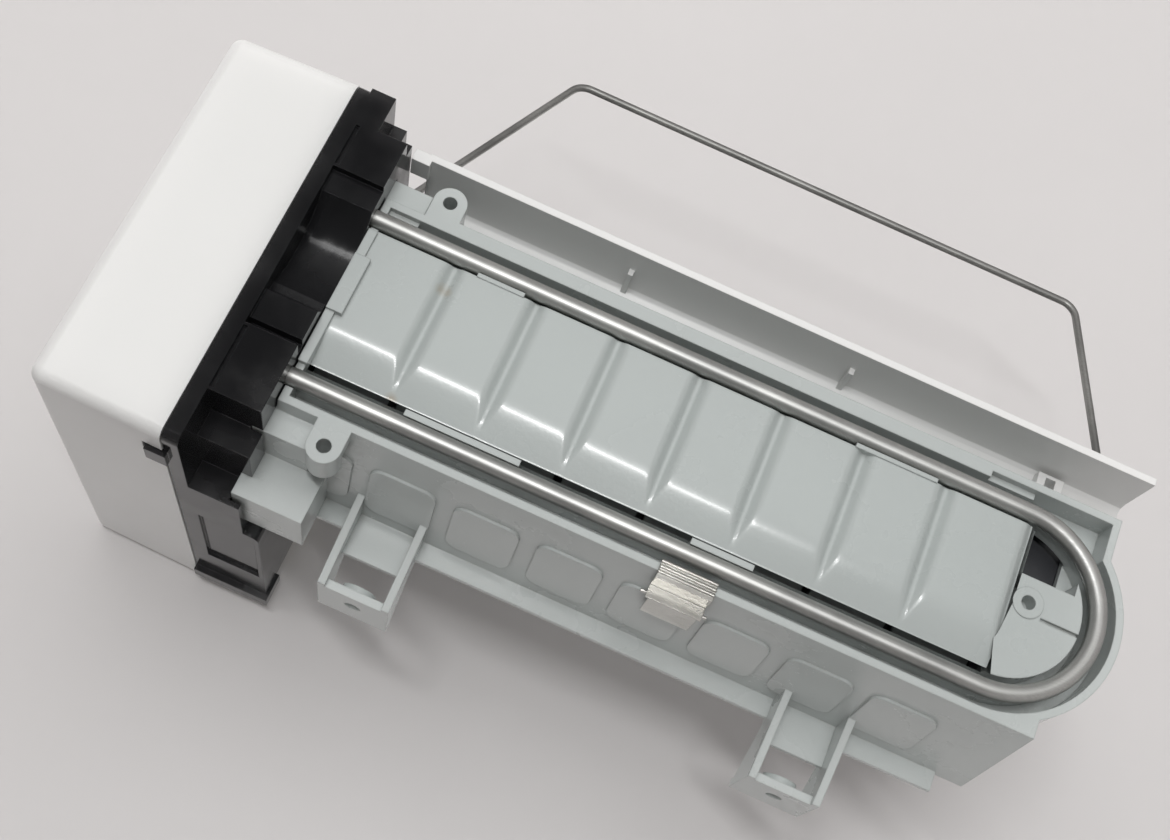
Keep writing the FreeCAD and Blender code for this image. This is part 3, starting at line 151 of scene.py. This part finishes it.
def make_mottle():
    """Slow colour variation between two tones, with fine specks."""
    tree, given, out = new_group(
        "mottle", [("Scale", "NodeSocketFloat", 40.0), ("Light", "NodeSocketColor", (1, 1, 1, 1)),
                   ("Dark", "NodeSocketColor", (0.8, 0.8, 0.8, 1)), ("Specks", "NodeSocketFloat", 0.1)],
        [("Color", "NodeSocketColor", None), ("Mask", "NodeSocketFloat", None)])
    place = add(tree, "ShaderNodeTexCoord").outputs["Object"]
    cloud = ramp(tree, noise(tree, place, given.outputs["Scale"], 5.0, 0.55), 0.3, 0.72)
    speck_scale = math_node(tree, "MULTIPLY", given.outputs["Scale"], 45.0)
    specks = ramp(tree, noise(tree, place, speck_scale, 1.0), 0.62, 0.74)
    speck_share = math_node(tree, "MULTIPLY", specks, given.outputs["Specks"])
    mask = math_node(tree, "ADD", cloud, speck_share, clamp=True)
    tree.links.new(mix_color(tree, mask, given.outputs["Light"], given.outputs["Dark"]), out.inputs["Color"])
    tree.links.new(mask, out.inputs["Mask"])
    return tree


def make_edge_wear_and_glint():
    """A mask of sharp outer edges, broken up by noise, for a lighter edge colour: painted highlight along with
    edge wear.
    """
    tree, given, out = new_group(
        "edge_wear_and_glint", [("Width", "NodeSocketFloat", 0.0005), ("Breakup", "NodeSocketFloat", 300.0)],
        [("Mask", "NodeSocketFloat", None)])
    rounded = add(tree, "ShaderNodeBevel", samples=4)
    tree.links.new(given.outputs["Width"], rounded.inputs["Radius"])
    surface = add(tree, "ShaderNodeNewGeometry")
    compare = add(tree, "ShaderNodeVectorMath", operation="DOT_PRODUCT")
    tree.links.new(rounded.outputs[0], compare.inputs[0])
    tree.links.new(surface.outputs["Normal"], compare.inputs[1])
    edge = ramp(tree, compare.outputs["Value"], 0.985, 0.80)
    place = add(tree, "ShaderNodeTexCoord").outputs["Object"]
    patches = ramp(tree, noise(tree, place, given.outputs["Breakup"], 4.0), 0.38, 0.62)
    tree.links.new(math_node(tree, "MULTIPLY", edge, patches), out.inputs["Mask"])
    return tree


def make_brushing():
    """Fine lines along the piece's length, as on drawn tube, wire and rolled sheet."""
    tree, given, out = new_group(
        "brushing", [("Stretch", "NodeSocketVector", (0.02, 1.0, 1.0)), ("Scale", "NodeSocketFloat", 2500.0)],
        [("Lines", "NodeSocketFloat", None)])
    place = add(tree, "ShaderNodeTexCoord").outputs["Object"]
    stretched = add(tree, "ShaderNodeVectorMath", operation="MULTIPLY")
    tree.links.new(place, stretched.inputs[0])
    tree.links.new(given.outputs["Stretch"], stretched.inputs[1])
    lines = noise(tree, stretched.outputs[0], given.outputs["Scale"], 2.0, 0.6)
    tree.links.new(lines, out.inputs["Lines"])
    return tree


def make_painted_corner_shade():
    """A mask of painted shade: narrow corners found by ambient occlusion, broken up by noise."""
    tree, given, out = new_group(
        "painted_corner_shade", [("Reach", "NodeSocketFloat", 0.004), ("Scale", "NodeSocketFloat", 120.0)],
        [("Mask", "NodeSocketFloat", None)])
    shade = add(tree, "ShaderNodeAmbientOcclusion", samples=4)
    tree.links.new(given.outputs["Reach"], shade.inputs["Distance"])
    corner = ramp(tree, shade.outputs["AO"], 0.75, 0.15)
    place = add(tree, "ShaderNodeTexCoord").outputs["Object"]
    patches = ramp(tree, noise(tree, place, given.outputs["Scale"], 4.0), 0.35, 0.65)
    tree.links.new(math_node(tree, "MULTIPLY", corner, patches), out.inputs["Mask"])
    return tree


GRAIN = make_grain()
MOTTLE = make_mottle()
WEAR_AND_GLINT = make_edge_wear_and_glint()
BRUSHING = make_brushing()
PAINTED_CORNER_SHADE = make_painted_corner_shade()


def placed(tree, group, **inputs):
    """A shader group in a material, with its own values."""
    made = tree.nodes.new("ShaderNodeGroup")
    made.node_tree = group
    for label, setting in inputs.items():
        made.inputs[label].default_value = setting
    return made


# ---------------------------------------------------------------- finishes

def finish(name, light, dark, roughness, bump, metallic=0.0, coat=0.0, worn_and_glint=None, painted_corner_shade=None,
           scale=40.0, specks=0.1, grain=900.0, roughness_swing=0.08, brushed=None, specular=0.5,
           edge_round=0.0004):
    """A material: two close tones, a roughness that varies, surface height, lighter sharp edges (painted
    highlight along with edge wear) and painted shade in corners.
    """
    material = bpy.data.materials.new(name)
    material.use_nodes = True
    tree = material.node_tree
    shader = tree.nodes["Principled BSDF"]
    shader.inputs["Metallic"].default_value = metallic
    shader.inputs["Coat Weight"].default_value = coat
    shader.inputs["Coat Roughness"].default_value = 0.12
    shader.inputs["Specular IOR Level"].default_value = specular
    mottle = placed(tree, MOTTLE, Scale=scale, Light=(*light, 1), Dark=(*dark, 1), Specks=specks)
    color, gloss = mottle.outputs["Color"], mottle.outputs["Mask"]
    # lighter colour on sharp edges: painted highlight along with edge wear
    if worn_and_glint:
        mask = placed(tree, WEAR_AND_GLINT, Width=worn_and_glint[1]).outputs["Mask"]
        color = mix_color(tree, math_node(tree, "MULTIPLY", mask, worn_and_glint[2]), color, worn_and_glint[0])
    # painted shade: a darker colour in corners where ambient occlusion finds them
    if painted_corner_shade:
        mask = placed(tree, PAINTED_CORNER_SHADE, Reach=painted_corner_shade[1]).outputs["Mask"]
        color = mix_color(tree, math_node(tree, "MULTIPLY", mask, painted_corner_shade[2]), color, painted_corner_shade[0])
    height = placed(tree, GRAIN, Scale=grain).outputs["Height"]
    if brushed:
        lines = placed(tree, BRUSHING, Stretch=brushed).outputs["Lines"]
        height = lines
        gloss = lines
        color = mix_color(tree, ramp(tree, lines, 0.3, 0.7, 0.0, 0.35), color, dark)
    tree.links.new(color, shader.inputs["Base Color"])
    low, high = roughness - roughness_swing, roughness + roughness_swing
    tree.links.new(ramp(tree, gloss, 0.0, 1.0, low, high), shader.inputs["Roughness"])
    relief = add(tree, "ShaderNodeBump", inputs={"Strength": 0.6, "Distance": bump})
    tree.links.new(height, relief.inputs["Height"])
    rounded = add(tree, "ShaderNodeBevel", samples=4, inputs={"Radius": edge_round})
    tree.links.new(rounded.outputs[0], relief.inputs["Normal"])
    tree.links.new(relief.outputs["Normal"], shader.inputs["Normal"])
    return material


# Corner colours below darken corners found by ambient occlusion: painted shade.
FINISHES = {
    # Edge colours below lighten sharp edges: painted highlight along with edge wear.
    "coated_casting": dict(light=(0.49, 0.52, 0.51), dark=(0.465, 0.495, 0.485), roughness=0.26, bump=0.00004,
                           coat=0.35,
                           roughness_swing=0.03, scale=25.0,
                           painted_corner_shade=((0.22, 0.22, 0.20), 0.004, 0.55), worn_and_glint=((0.60, 0.62, 0.61), 0.0004, 0.5),
                           edge_round=0.0006),
    "sheath_steel": dict(light=(0.58, 0.58, 0.56), dark=(0.42, 0.42, 0.41), roughness=0.46, bump=0.00001,
                         metallic=1.0, brushed=(0.02, 1.0, 1.0)),
    "tin_plate": dict(light=(0.72, 0.71, 0.68), dark=(0.55, 0.54, 0.51), roughness=0.3, bump=0.00001,
                      metallic=1.0, scale=200.0),
    "black_plastic": dict(light=(0.010, 0.010, 0.011), dark=(0.016, 0.016, 0.017), roughness=0.16, bump=0.00002,
                          worn_and_glint=((0.06, 0.06, 0.065), 0.0004, 0.6), grain=500.0),
    "white_plastic": dict(light=(0.70, 0.70, 0.69), dark=(0.69, 0.69, 0.68), roughness=0.34, bump=0.00002,
                          scale=15.0, specks=0.0, roughness_swing=0.02,
                          painted_corner_shade=((0.58, 0.56, 0.52), 0.003, 0.10)),
    "dark_nylon": dict(light=(0.055, 0.055, 0.06), dark=(0.04, 0.04, 0.044), roughness=0.48, bump=0.00004,
                       worn_and_glint=((0.16, 0.16, 0.17), 0.0005, 0.5)),
    "dark_plastic": dict(light=(0.03, 0.031, 0.036), dark=(0.02, 0.021, 0.025), roughness=0.4, bump=0.00004,
                         worn_and_glint=((0.10, 0.10, 0.11), 0.0005, 0.5)),
    "nylon": dict(light=(0.80, 0.78, 0.70), dark=(0.74, 0.72, 0.64), roughness=0.42, bump=0.00003,
                  painted_corner_shade=((0.35, 0.33, 0.28), 0.002, 0.5)),
    "brass": dict(light=(0.78, 0.58, 0.27), dark=(0.60, 0.42, 0.18), roughness=0.28, bump=0.00001,
                  metallic=1.0, scale=300.0),
    "plate_steel": dict(light=(0.62, 0.63, 0.64), dark=(0.48, 0.49, 0.50), roughness=0.36, bump=0.00001,
                        metallic=1.0, brushed=(1.0, 1.0, 0.03)),
    "motor_steel": dict(light=(0.58, 0.57, 0.52), dark=(0.44, 0.43, 0.39), roughness=0.34, bump=0.00001,
                        metallic=1.0, scale=120.0),
    "screw_steel": dict(light=(0.62, 0.62, 0.60), dark=(0.42, 0.42, 0.40), roughness=0.3, bump=0.00001,
                        metallic=1.0, scale=400.0, painted_corner_shade=((0.12, 0.11, 0.10), 0.001, 0.7)),
    "spring_steel": dict(light=(0.72, 0.71, 0.67), dark=(0.48, 0.47, 0.44), roughness=0.24, bump=0.00001,
                         metallic=1.0, brushed=(0.05, 1.0, 1.0)),
    "wire_steel": dict(light=(0.26, 0.26, 0.25), dark=(0.15, 0.15, 0.145), roughness=0.42, bump=0.00002,
                       metallic=1.0, brushed=(0.05, 1.0, 1.0)),
    "switch_plastic": dict(light=(0.05, 0.05, 0.055), dark=(0.035, 0.035, 0.04), roughness=0.5, bump=0.00004),
    "red_plastic": dict(light=(0.45, 0.04, 0.03), dark=(0.35, 0.03, 0.02), roughness=0.4, bump=0.00002),
    "socket_plastic": dict(light=(0.78, 0.76, 0.68), dark=(0.72, 0.70, 0.62), roughness=0.45, bump=0.00003),
}
MATERIALS = {name: finish(name, **values) for name, values in FINISHES.items()}
SLOT_OF = {part["node"]: part["material_slot"] for part in frame["record"]["subparts"]}


def coat_cad_nodes():
    """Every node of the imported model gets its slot's material."""
    for name, piece in frame["nodes"].items():
        piece.data.materials.clear()
        piece.data.materials.append(MATERIALS[SLOT_OF[name]])


coat_cad_nodes()


# ---------------------------------------------------------------- places read from the frame

def opening(name):
    """A stated opening's two corners."""
    return next(Vector(o["box_m"][0]) for o in OPENINGS if o["name"] == name), \
        next(Vector(o["box_m"][1]) for o in OPENINGS if o["name"] == name)


OPENINGS = frame["record"]["physics"]["openings"]
HEATER_LOW, HEATER_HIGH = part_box("heater_tube")
TUBE = (HEATER_HIGH.z - HEATER_LOW.z) / 2
CENTER_Y = (HEATER_LOW.y + HEATER_HIGH.y) / 2
PLANE_Z = (HEATER_LOW.z + HEATER_HIGH.z) / 2
LEG_Y = HEATER_HIGH.y - CENTER_Y - TUBE
CAVITIES = [opening(f"cavity_{number}_upper") for number in range(1, 9)]
PITCH = CAVITIES[2][0].x - CAVITIES[1][0].x
GROOVES = [(CAVITIES[k][1].x + CAVITIES[k + 1][0].x) / 2 for k in range(7)]
ROW_START = GROOVES[0] - PITCH
ROW_END = GROOVES[-1] + PITCH


# ---------------------------------------------------------------- softened copies

BODY_OF = {name: body for body, names in frame["record"]["behaviour"]["bodies"].items() for name in names}


def softened(node, width, segments=3, angle=28.0):
    """A copy of a CAD piece with small radii on its sharp edges, which stands for it."""
    source = frame["nodes"][node]
    mesh = source.data.copy()
    work = bmesh.new()
    work.from_mesh(mesh)
    bmesh.ops.remove_doubles(work, verts=work.verts, dist=0.000002)
    bmesh.ops.dissolve_limit(work, angle_limit=math.radians(1.0), verts=work.verts, edges=work.edges)
    work.to_mesh(mesh)
    work.free()
    mesh.shade_smooth()
    piece = bpy.data.objects.new("soft_" + node, mesh)
    bpy.context.scene.collection.objects.link(piece)
    bevel = piece.modifiers.new("edges", "BEVEL")
    bevel.width = width
    bevel.segments = segments
    bevel.limit_method = "ANGLE"
    bevel.angle_limit = math.radians(angle)
    bevel.use_clamp_overlap = True
    weigh = piece.modifiers.new("flat_faces", "WEIGHTED_NORMAL")
    weigh.keep_sharp = True
    weigh.weight = 100
    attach(piece, BODY_OF[node])
    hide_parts(node)
    return piece


# ---------------------------------------------------------------- casting

def soft_min(values, blend):
    """The smallest value, with corners between them rounded off by about the blend length."""
    lowest = min(values)
    return lowest - blend * math.log(sum(math.exp(-(v - lowest) / blend) for v in values))


PAD_TOP, PAD_FLOOR = 0.55 * MM, -1.5 * MM
PAD_SIDE = (TUBE + 0.9 * MM - LEG_Y, LEG_Y - TUBE - 0.7 * MM)
LAST_END = 1.5 * MM
PAD_BEND = 9.5 * MM
PAD_SLOPE = 0.40
FIRST_START = 2 * MM
FOLD_CROWN, FOLD_BLEND = 0.3 * MM, 0.6 * MM
GROOVE_FLAT, GROOVE_RISE, GROOVE_BLEND = 0.5 * MM, 1.2, 0.5 * MM
FLOOR_DEPTH, FLOOR_BLEND = 1.4 * MM, 0.3 * MM
SIDE_RISE, SIDE_BLEND = 3.0, 0.35 * MM
SKIN_START, SKIN_MARGIN = 0.8 * MM, 1.2 * MM
SKIN_ROOT = -3.4 * MM
SKIN_STEP = 0.5 * MM
SHAPE_STEP = 0.05 * MM


def pad_height(along, across):
    """How far the casting's underside stands below the heater's plane at a point between its two legs."""
    place = (along - ROW_START) / PITCH
    index = min(max(int(place), 0), len(CAVITIES) - 1)
    start = ROW_START + index * PITCH
    from_groove = min(along - start + (FIRST_START if index == 0 else 0.0),
                      start + PITCH - along + (LAST_END if index == len(CAVITIES) - 1 else 0.0))
    slope = PAD_TOP - PAD_SLOPE * (across - PAD_BEND)
    sides = PAD_FLOOR + GROOVE_RISE * max(from_groove - GROOVE_FLAT, 0.0)
    top = soft_min((PAD_TOP + FOLD_CROWN, slope), FOLD_BLEND)
    body = soft_min((top, sides), GROOVE_BLEND)
    floor = min(PAD_FLOOR, slope - FLOOR_DEPTH)
    pad = -soft_min((-body, -floor), FLOOR_BLEND)
    dump = PAD_TOP - SIDE_RISE * (PAD_SIDE[0] - across)
    wall = PAD_TOP - SIDE_RISE * (across - PAD_SIDE[1])
    return max(soft_min((pad, dump, wall), SIDE_BLEND), SKIN_ROOT)


def skin_normal(along, across):
    """The outward direction of the underside at a point."""
    rise_x = pad_height(along + SHAPE_STEP, across) - pad_height(along - SHAPE_STEP, across)
    rise_y = pad_height(along, across + SHAPE_STEP) - pad_height(along, across - SHAPE_STEP)
    fall_x, fall_y = rise_x / (2 * SHAPE_STEP), rise_y / (2 * SHAPE_STEP)
    return Vector((-fall_x, -fall_y, -1.0)).normalized()


def add_skin(work, shade):
    """The rounded blocks under the cavities, as one smooth sheet with its own normals."""
    start, end = ROW_START + SKIN_START, ROW_END + LAST_END
    first = PAD_SIDE[0] - SKIN_MARGIN
    columns = round((end - start) / SKIN_STEP)
    rows = round((PAD_SIDE[1] + SKIN_MARGIN - first) / SKIN_STEP)
    grid = {}
    for i in range(columns + 1):
        for j in range(rows + 1):
            x, y = start + i * SKIN_STEP, first + j * SKIN_STEP
            height = pad_height(x, y)
            vert = work.verts.new((x, CENTER_Y + y, PLANE_Z - height))
            grid[i, j] = (vert, skin_normal(x, y), height > SKIN_ROOT + 0.01 * MM)
    for i in range(columns):
        for j in range(rows):
            corners = [grid[i, j], grid[i, j + 1], grid[i + 1, j + 1], grid[i + 1, j]]
            if not any(corner[2] for corner in corners):
                continue
            face = work.faces.new([corner[0] for corner in corners])
            for loop, corner in zip(face.loops, corners):
                loop[shade] = corner[1]
    for vert in [corner[0] for corner in grid.values() if not corner[0].link_faces]:
        work.verts.remove(vert)


def casting():
    """The mould casting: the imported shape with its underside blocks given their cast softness."""
    source = frame["nodes"]["mold_body"].data
    work = bmesh.new()
    work.from_mesh(source)
    shade = work.loops.layers.float_vector.new("shade")
    for face, polygon in zip(work.faces, source.polygons):
        for loop, corner in zip(face.loops, polygon.loop_indices):
            loop[shade] = source.corner_normals[corner].vector
    bmesh.ops.remove_doubles(work, verts=work.verts, dist=0.000002)
    low = (ROW_START, CENTER_Y + PAD_SIDE[0] - 0.5 * MM, PLANE_Z - PAD_TOP - 0.05 * MM)
    high = (ROW_END + 2 * MM, CENTER_Y + PAD_SIDE[1] + 0.3 * MM, PLANE_Z + TUBE + 0.12 * MM)
    inside = [face for face in work.faces
              if all(low[k] <= vert.co[k] <= high[k] for vert in face.verts for k in range(3))]
    bmesh.ops.delete(work, geom=inside, context="FACES")
    add_skin(work, shade)
    mesh = bpy.data.meshes.new("casting")
    work.to_mesh(mesh)
    work.free()
    mesh.shade_smooth()
    kept = mesh.attributes["shade"]
    mesh.normals_split_custom_set([tuple(corner.vector) for corner in kept.data])
    mesh.attributes.remove(kept)
    mesh.materials.append(MATERIALS["coated_casting"])
    piece = bpy.data.objects.new("casting", mesh)
    bpy.context.scene.collection.objects.link(piece)
    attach(piece, "frame")
    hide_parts("mold_body")


casting()
for node, width in (("control_cover", 0.5 * MM), ("stripper", 0.4 * MM), ("support_housing", 0.5 * MM),
                    ("fill_cup", 0.4 * MM), ("fuse_clip", 0.15 * MM), ("ejector", 0.5 * MM),
                    ("connector_socket", 0.3 * MM), ("module_plate", 0.2 * MM)):
    softened(node, width)


# ---------------------------------------------------------------- screw heads

def islands(node):
    """The vertex groups of a node's separate solids."""
    work = bmesh.new()
    work.from_mesh(frame["nodes"][node].data)
    bmesh.ops.remove_doubles(work, verts=work.verts, dist=0.000002)
    left, groups = set(work.verts), []
    while left:
        reached = [left.pop()]
        for vert in reached:
            for edge in vert.link_edges:
                other = edge.other_vert(vert)
                if other in left:
                    left.remove(other)
                    reached.append(other)
        groups.append([vert.co.copy() for vert in reached])
    work.free()
    return groups


def head_of(points):
    """A screw's head: the middle of its outer face, the way it faces and its radius."""
    low = Vector([min(p[k] for p in points) for k in range(3)])
    high = Vector([max(p[k] for p in points) for k in range(3)])
    size, middle = high - low, (low + high) / 2
    axis = min(range(3), key=lambda k: abs(size[(k + 1) % 3] - size[(k + 2) % 3]))
    radius = size[(axis + 1) % 3] / 2
    wide = [p for p in points if (p - middle).length_squared - (p - middle)[axis] ** 2 > (0.9 * radius) ** 2]
    way = 1 if sum(p[axis] for p in wide) / len(wide) > middle[axis] else -1
    face = middle.copy()
    face[axis] = (high if way > 0 else low)[axis]
    facing = Vector((0, 0, 0))
    facing[axis] = way
    return face, facing, radius


def heads_tree():
    """Domed caps with a cross recess on points that carry a facing and a radius."""
    tree = bpy.data.node_groups.new("recessed_heads", "GeometryNodeTree")
    names = {}
    for label, kind, default in (("Points", "NodeSocketGeometry", None), ("Rise", "NodeSocketFloat", 0.2),
                                 ("Crown", "NodeSocketFloat", 0.7), ("Slot Length", "NodeSocketFloat", 1.1),
                                 ("Slot Width", "NodeSocketFloat", 0.24),
                                 ("Material", "NodeSocketMaterial", None)):
        socket = tree.interface.new_socket(name=label, in_out="INPUT", socket_type=kind)
        if default is not None:
            socket.default_value = default
        names[label] = socket.identifier
    tree.interface.new_socket(name="Heads", in_out="OUTPUT", socket_type="NodeSocketGeometry")
    given, out = tree.nodes.new("NodeGroupInput"), tree.nodes.new("NodeGroupOutput")
    cap = add(tree, "GeometryNodeMeshCone", inputs={"Vertices": 32, "Radius Bottom": 0.98})
    tree.links.new(given.outputs["Crown"], cap.inputs["Radius Top"])
    tree.links.new(given.outputs["Rise"], cap.inputs["Depth"])
    recessed = add(tree, "GeometryNodeMeshBoolean", operation="DIFFERENCE", solver="EXACT")
    tree.links.new(cap.outputs["Mesh"], recessed.inputs["Mesh 1"])
    for order in (("Slot Length", "Slot Width"), ("Slot Width", "Slot Length")):
        size = add(tree, "ShaderNodeCombineXYZ", inputs={"Z": 2.0})
        tree.links.new(given.outputs[order[0]], size.inputs["X"])
        tree.links.new(given.outputs[order[1]], size.inputs["Y"])
        bar = add(tree, "GeometryNodeMeshCube")
        tree.links.new(size.outputs[0], bar.inputs["Size"])
        tree.links.new(bar.outputs["Mesh"], recessed.inputs["Mesh 2"])
    points = add(tree, "GeometryNodeMeshToPoints")
    tree.links.new(given.outputs["Points"], points.inputs["Mesh"])
    facing = add(tree, "GeometryNodeInputNamedAttribute", data_type="FLOAT_VECTOR", inputs={"Name": "facing"})
    turn = add(tree, "FunctionNodeAlignRotationToVector", axis="Z")
    tree.links.new(facing.outputs["Attribute"], turn.inputs["Vector"])
    radius = add(tree, "GeometryNodeInputNamedAttribute", data_type="FLOAT", inputs={"Name": "head_radius"})
    placed_heads = add(tree, "GeometryNodeInstanceOnPoints")
    tree.links.new(points.outputs["Points"], placed_heads.inputs["Points"])
    tree.links.new(recessed.outputs["Mesh"], placed_heads.inputs["Instance"])
    tree.links.new(turn.outputs["Rotation"], placed_heads.inputs["Rotation"])
    tree.links.new(radius.outputs["Attribute"], placed_heads.inputs["Scale"])
    real = add(tree, "GeometryNodeRealizeInstances")
    tree.links.new(placed_heads.outputs["Instances"], real.inputs["Geometry"])
    painted = add(tree, "GeometryNodeSetMaterial")
    tree.links.new(real.outputs["Geometry"], painted.inputs["Geometry"])
    tree.links.new(given.outputs["Material"], painted.inputs["Material"])
    tree.links.new(painted.outputs["Geometry"], out.inputs["Heads"])
    return tree, names


def screw_heads():
    """Recessed caps on every screw of the fixed body."""
    heads = [head_of(points) for node in SLOT_OF if node.endswith("_screws")
             for points in islands(node)]
    mesh = bpy.data.meshes.new("head_places")
    mesh.from_pydata([tuple(face) for face, facing, radius in heads], [], [])
    ways = mesh.attributes.new("facing", "FLOAT_VECTOR", "POINT")
    for index, (face, facing, radius) in enumerate(heads):
        ways.data[index].vector = facing
    radii = mesh.attributes.new("head_radius", "FLOAT", "POINT")
    for index, (face, facing, radius) in enumerate(heads):
        radii.data[index].value = radius
    carrier = bpy.data.objects.new("head_places", mesh)
    bpy.context.scene.collection.objects.link(carrier)
    tree, names = heads_tree()
    modifier = carrier.modifiers.new("heads", "NODES")
    modifier.node_group = tree
    modifier[names["Rise"]] = 0.18
    modifier[names["Material"]] = MATERIALS["screw_steel"]
    made = bpy.data.meshes.new_from_object(carrier.evaluated_get(bpy.context.evaluated_depsgraph_get()))
    carrier.modifiers.remove(modifier)
    bpy.data.objects.remove(carrier)
    piece = bpy.data.objects.new("screw_recesses", made)
    bpy.context.scene.collection.objects.link(piece)
    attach(piece, "frame")


screw_heads()


# ---------------------------------------------------------------- stains

def stain(slot, places, color, strength):
    """Soft water marks in a slot's material; places are (centre, radius)."""
    tree = MATERIALS[slot].node_tree
    base = tree.nodes["Principled BSDF"].inputs["Base Color"]
    paint = base.links[0].from_socket
    position = add(tree, "ShaderNodeTexCoord").outputs["Object"]
    ragged = noise(tree, position, 260.0, 4.0, 0.6)
    for center, radius in places:
        distance = add(tree, "ShaderNodeVectorMath", operation="DISTANCE", inputs={1: center})
        tree.links.new(position, distance.inputs[0])
        spread = math_node(tree, "MULTIPLY", ragged, radius)
        uneven = math_node(tree, "ADD", distance.outputs["Value"], spread)
        mask = ramp(tree, uneven, radius * 1.4, radius * 0.6, 0.0, strength)
        paint = mix_color(tree, mask, paint, color)
    tree.links.new(paint, base)


stain("coated_casting",
      [((GROOVES[0], CENTER_Y - 15 * MM, PLANE_Z), 3.2 * MM),
       ((GROOVES[0], CENTER_Y + 20 * MM, PLANE_Z + 2 * MM), 3.4 * MM)],
      (0.33, 0.21, 0.08), 0.55)


# ---------------------------------------------------------------- studio

def one_sided(name, color):
    """A pale stage surface that is seen from its front only."""
    material = bpy.data.materials.new(name)
    material.use_nodes = True
    tree = material.node_tree
    shader = tree.nodes["Principled BSDF"]
    shader.inputs["Roughness"].default_value = 0.75
    shaded = [part * 0.96 for part in color]
    cloth = placed(tree, MOTTLE, Scale=3.0, Light=(*color, 1), Dark=(*shaded, 1), Specks=0.0)
    tree.links.new(cloth.outputs["Color"], shader.inputs["Base Color"])
    clear = add(tree, "ShaderNodeBsdfTransparent")
    side = add(tree, "ShaderNodeMixShader")
    tree.links.new(add(tree, "ShaderNodeNewGeometry").outputs["Backfacing"], side.inputs[0])
    tree.links.new(shader.outputs[0], side.inputs[1])
    tree.links.new(clear.outputs[0], side.inputs[2])
    tree.links.new(side.outputs[0], tree.nodes["Material Output"].inputs["Surface"])
    return material


def stage_plane(name, height, facing, half, material):
    """A horizontal stage surface that faces up or down."""
    mesh = bpy.data.meshes.new(name)
    corners = [(-half, -half, height), (half, -half, height), (half, half, height), (-half, half, height)]
    mesh.from_pydata(corners if facing > 0 else corners[::-1], [], [(0, 1, 2, 3)])
    mesh.materials.append(material)
    plane = bpy.data.objects.new(name, mesh)
    bpy.context.scene.collection.objects.link(plane)
    plane.visible_shadow = False
    return plane


def area_light(name, place, target, size, power, color=(1, 1, 1)):
    """A soft box that points at the target."""
    data = bpy.data.lights.new(name, "AREA")
    data.shape = "RECTANGLE"
    data.size, data.size_y = size
    data.energy = power
    data.color = color
    light = bpy.data.objects.new(name, data)
    light.location = place
    light.rotation_euler = (Vector(target) - Vector(place)).to_track_quat("-Z", "Y").to_euler()
    bpy.context.scene.collection.objects.link(light)
    return light


def studio():
    """Pale floor and backdrop, soft light and world."""
    low, high = CAD_BOUNDS[0], CAD_BOUNDS[1]
    pale = (0.60, 0.587, 0.583)
    stage_plane("backdrop", high[2] + 0.0002, -1, 3.0, one_sided("backdrop_paper", pale))
    stage_plane("floor", low[2] - 0.002, 1, 3.0, one_sided("floor_paper", pale))
    middle = [(low[i] + high[i]) / 2 for i in range(3)]
    area_light("lamp", (-0.10, 0.10, -1.35), middle, (0.60, 0.07), 6.5)
    area_light("ceiling", (-0.12, -0.45, -1.45), middle, (1.3, 0.9), 9.8)
    area_light("top_key", (0.7, -0.7, 1.0), middle, (0.9, 0.9), 9.0)
    area_light("top_fill", (-0.9, -0.8, 0.5), middle, (1.0, 1.0), 6.0)
    world = bpy.data.worlds.new("studio_air")
    world.use_nodes = True
    background = world.node_tree.nodes["Background"]
    background.inputs["Color"].default_value = (0.80, 0.79, 0.785, 1)
    seen = world.node_tree.nodes.new("ShaderNodeLightPath")
    strength = ramp(world.node_tree, seen.outputs["Is Camera Ray"], 0.0, 1.0, 0.11, 0.60)
    world.node_tree.links.new(strength, background.inputs["Strength"])
    bpy.context.scene.world = world
    bpy.context.scene.view_settings.view_transform = "Standard"


def camera():
    """A camera under the unit, at its wall side, looking up at the mould's underside."""
    right = Vector((0.91223, -0.37999, -0.15315))
    down = Vector((0.40968, 0.84350, 0.34738))
    forward = Vector((-0.00282, -0.37963, 0.92513))
    data = bpy.data.cameras.new("camera")
    data.lens = 48.01
    data.sensor_width = 36.0
    data.clip_start = 0.01
    eye = bpy.data.objects.new("camera", data)
    turn = Matrix((right, -down, -forward)).transposed().to_4x4()
    eye.matrix_world = Matrix.Translation((-0.025484, 0.097443, -0.434623)) @ turn
    bpy.context.scene.collection.objects.link(eye)
    bpy.context.scene.camera = eye


studio()
camera()
